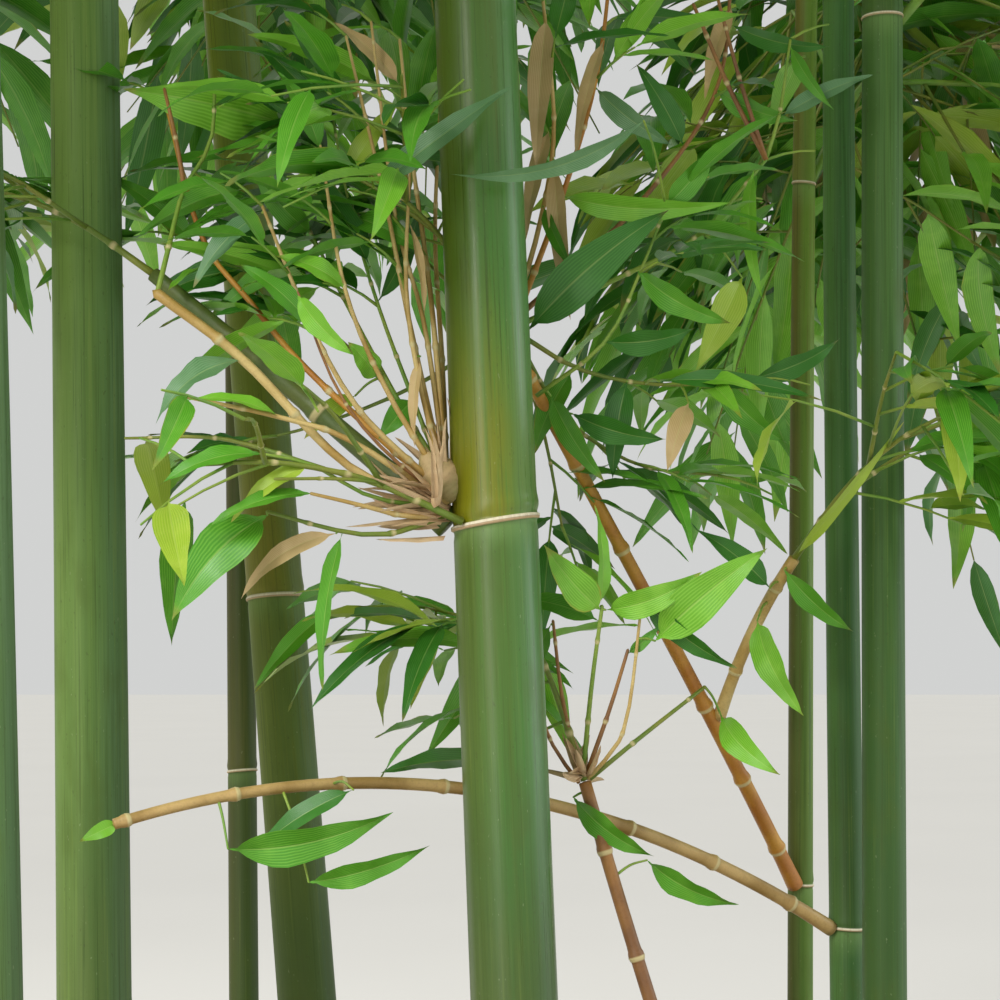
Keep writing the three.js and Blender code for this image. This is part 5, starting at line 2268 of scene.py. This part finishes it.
@dataclass
class SheathStubs:
    """The papery sheath stubs that fan out where twigs leave a ring."""

    clump: Clump
    blades: Blades = field(default_factory=lambda: Blades(SHEATH_BLADE))

    def fan(
        self, base: Array, azimuths: tuple[float, float], rises: tuple[float, float],
        lengths: tuple[float, float], count: int, seed: int,
    ) -> None:
        """Add a fan of stubs.

        Args:
            base: Where they leave from.
            azimuths: The least and greatest azimuth.
            rises: The least and greatest rise.
            lengths: The least and greatest length.
            count: How many there are.
            seed: Seed of their random numbers.
        """
        dice = Dice(seed)
        for _ in range(count):
            forward = heading(dice.between(*azimuths), dice.between(*rises))
            start = base + forward * 2 + np.array([0, dice.between(-7, 7), dice.between(-5, 5)])
            length = dice.between(*lengths)
            face = np.cross(forward, heading(dice.between(0, 360), dice.between(-40, 40)))
            self.blades.add(start, start + forward * length, face, dice.between(3.2, 6.2),
                            length * dice.between(-0.05, 0.09), 0.0, 1.0, dice.between(0, 1))

    def build(self) -> Piece:
        """Build the stubs at the front culm's ring and at the foot of the low shoot's twigs.

        Returns:
            The piece.
        """
        front = self.clump.culms["culm_front"]
        left = front.axis(front.node) + np.array([-float(front.radius(front.node)), -4, 0])
        self.fan(left + Z_AXIS * 6, (150, 225), (-8, 38), (28, 60), 36, 91)
        self.fan(left + Z_AXIS * 14, (150, 250), (40, 88), (24, 56), 9, 94)
        self.fan(left + np.array([-2, 0, -3]), (170, 200), (-10, 2), (34, 42), 3, 95)
        self.fan(left + np.array([-10, -16, 8]), (170, 300), (58, 84), (26, 44), 6, 96)
        self.fan(np.array([68, -25, 878]), (0, 360), (-5, 75), (12, 30), 16, 92)
        return show(self.blades.mesh("sheath_stubs"), PaperFinish().make())


@dataclass
class Studio:
    """The floor, lights and camera."""

    floor_reach: float = 60.0
    lens_mm: float = 82.0
    sensor_mm: float = 36.0
    pitch_deg: float = 94.0
    aim: tuple[float, float, float] = (0, 0, 1.1)

    def build(self) -> None:
        """Build the studio."""
        self.floor()
        self.light()
        self.camera()

    def floor(self) -> None:
        """Lay the floor."""
        form = bmesh.new()
        bmesh.ops.create_grid(form, x_segments=1, y_segments=1, size=self.floor_reach)
        mesh = bpy.data.meshes.new("floor")
        form.to_mesh(mesh)
        form.free()
        floor = bpy.data.objects.new("floor", mesh)
        mesh.materials.append(FloorFinish().make())
        bpy.context.scene.collection.objects.link(floor)
        floor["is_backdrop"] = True

    def light(self) -> None:
        """Set the lights and the sky."""
        sun = bpy.data.lights.new("key", "SUN")
        sun.energy, sun.angle = 2.1, math.radians(24)
        key = bpy.data.objects.new("key", sun)
        key.rotation_euler = (math.radians(48), math.radians(-8), math.radians(-28))
        bpy.context.scene.collection.objects.link(key)
        for name, place, size, power, tint in (
            ("front", (-1.85, -3.3, 2.2), (0.34, 3.8), 46.0, (1.0, 0.98, 0.92)),
            ("side", (3.6, 0.2, 2.4), (1.8, 3.4), 60.0, (0.88, 0.95, 1.0)),
            ("back", (-2.6, 3.6, 4.4), (4.0, 4.0), 60.0, (1.0, 0.97, 0.9)),
        ):
            lamp = bpy.data.lights.new(name, "AREA")
            lamp.shape, lamp.size, lamp.size_y = "RECTANGLE", *size
            lamp.energy, lamp.color = power, tint
            stand = bpy.data.objects.new(name, lamp)
            stand.location = place
            way = Vector(self.aim) - Vector(place)
            stand.rotation_euler = way.to_track_quat("-Z", "Y").to_euler()
            bpy.context.scene.collection.objects.link(stand)
        world = bpy.data.worlds.new("soft sky")
        world.use_nodes = True
        sky = world.node_tree.nodes["Background"]
        sky.inputs["Color"].default_value = (0.94, 0.95, 0.94, 1)
        sky.inputs["Strength"].default_value = 0.68
        bpy.context.scene.world = world
        bpy.context.scene.view_settings.view_transform = "Standard"

    def camera(self) -> None:
        """Set the camera at the photograph's place, looking slightly up."""
        lens = bpy.data.cameras.new("view")
        lens.lens, lens.sensor_width = self.lens_mm, self.sensor_mm
        lens.clip_start, lens.clip_end = 0.05, 200.0
        camera = bpy.data.objects.new("view", lens)
        camera.location = EYE * MM
        camera.rotation_euler = (math.radians(self.pitch_deg), 0, 0)
        bpy.context.scene.collection.objects.link(camera)
        bpy.context.scene.camera = camera


def culm_finishes() -> dict[str, CulmFinish]:
    """Choose the culms' skins.

    Returns:
        Each culm's skin, by the culm's name.
    """
    finishes = (
        CulmFinish(
            "culm front", "4e6f28", "447d28", "53651a", "5a8a4e", "807c08",
            gold_share=0.88, roughness=0.33, gloss=0.5, shade_share=0.16,
        ),
        CulmFinish("culm left", "6a8a3e", "597636", "7e9a4a", "6c905c", "768040"),
        CulmFinish("culm far left", "648348", "567640", "769650", "6a8c5e", "768046"),
        CulmFinish(
            "culm back left", "6a7e2c", "727c1a", "78841f", "6c8650", "9a8c2c", gold_share=0.7
        ),
        CulmFinish("culm rear left", "4c5824", "465020", "5a5228", "52642e", "7a6e34"),
        CulmFinish("culm rear", "5a6a2c", "566228", "66642e", "566e34", "857a3a"),
        CulmFinish("culm rear right", "6f9030", "567a2a", "6c6028", "7c9c38", "7f8a3a"),
        CulmFinish("culm right", "487638", "345828", "5a843e", "4a7444", "546e34"),
        CulmFinish(
            "culm far right", "517836", "355826", "406228", "5f8250", "4e682a", shade_share=0.55
        ),
    )
    return {finish.name.replace(" ", "_"): finish for finish in finishes}


def corners(box: tuple[Vector, Vector]) -> list[list[float]]:
    """Return a box's corners as plain lists."""
    return [list(corner) for corner in box]


def main() -> None:
    """Build the scene."""
    logging.basicConfig(level=logging.INFO, format="%(message)s")
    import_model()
    Studio().build()
    clump = Clump()
    planter = Planter()
    planter.pot()
    planter.soil()
    CulmStand(clump, culm_finishes()).build()
    BoughSet(clump).build()
    FrontSprays(clump).build()
    BranchBud(clump).build()
    SheathStubs(clump).build()
    Crown(clump).build()
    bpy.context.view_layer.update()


if __name__ == "__main__":
    main()
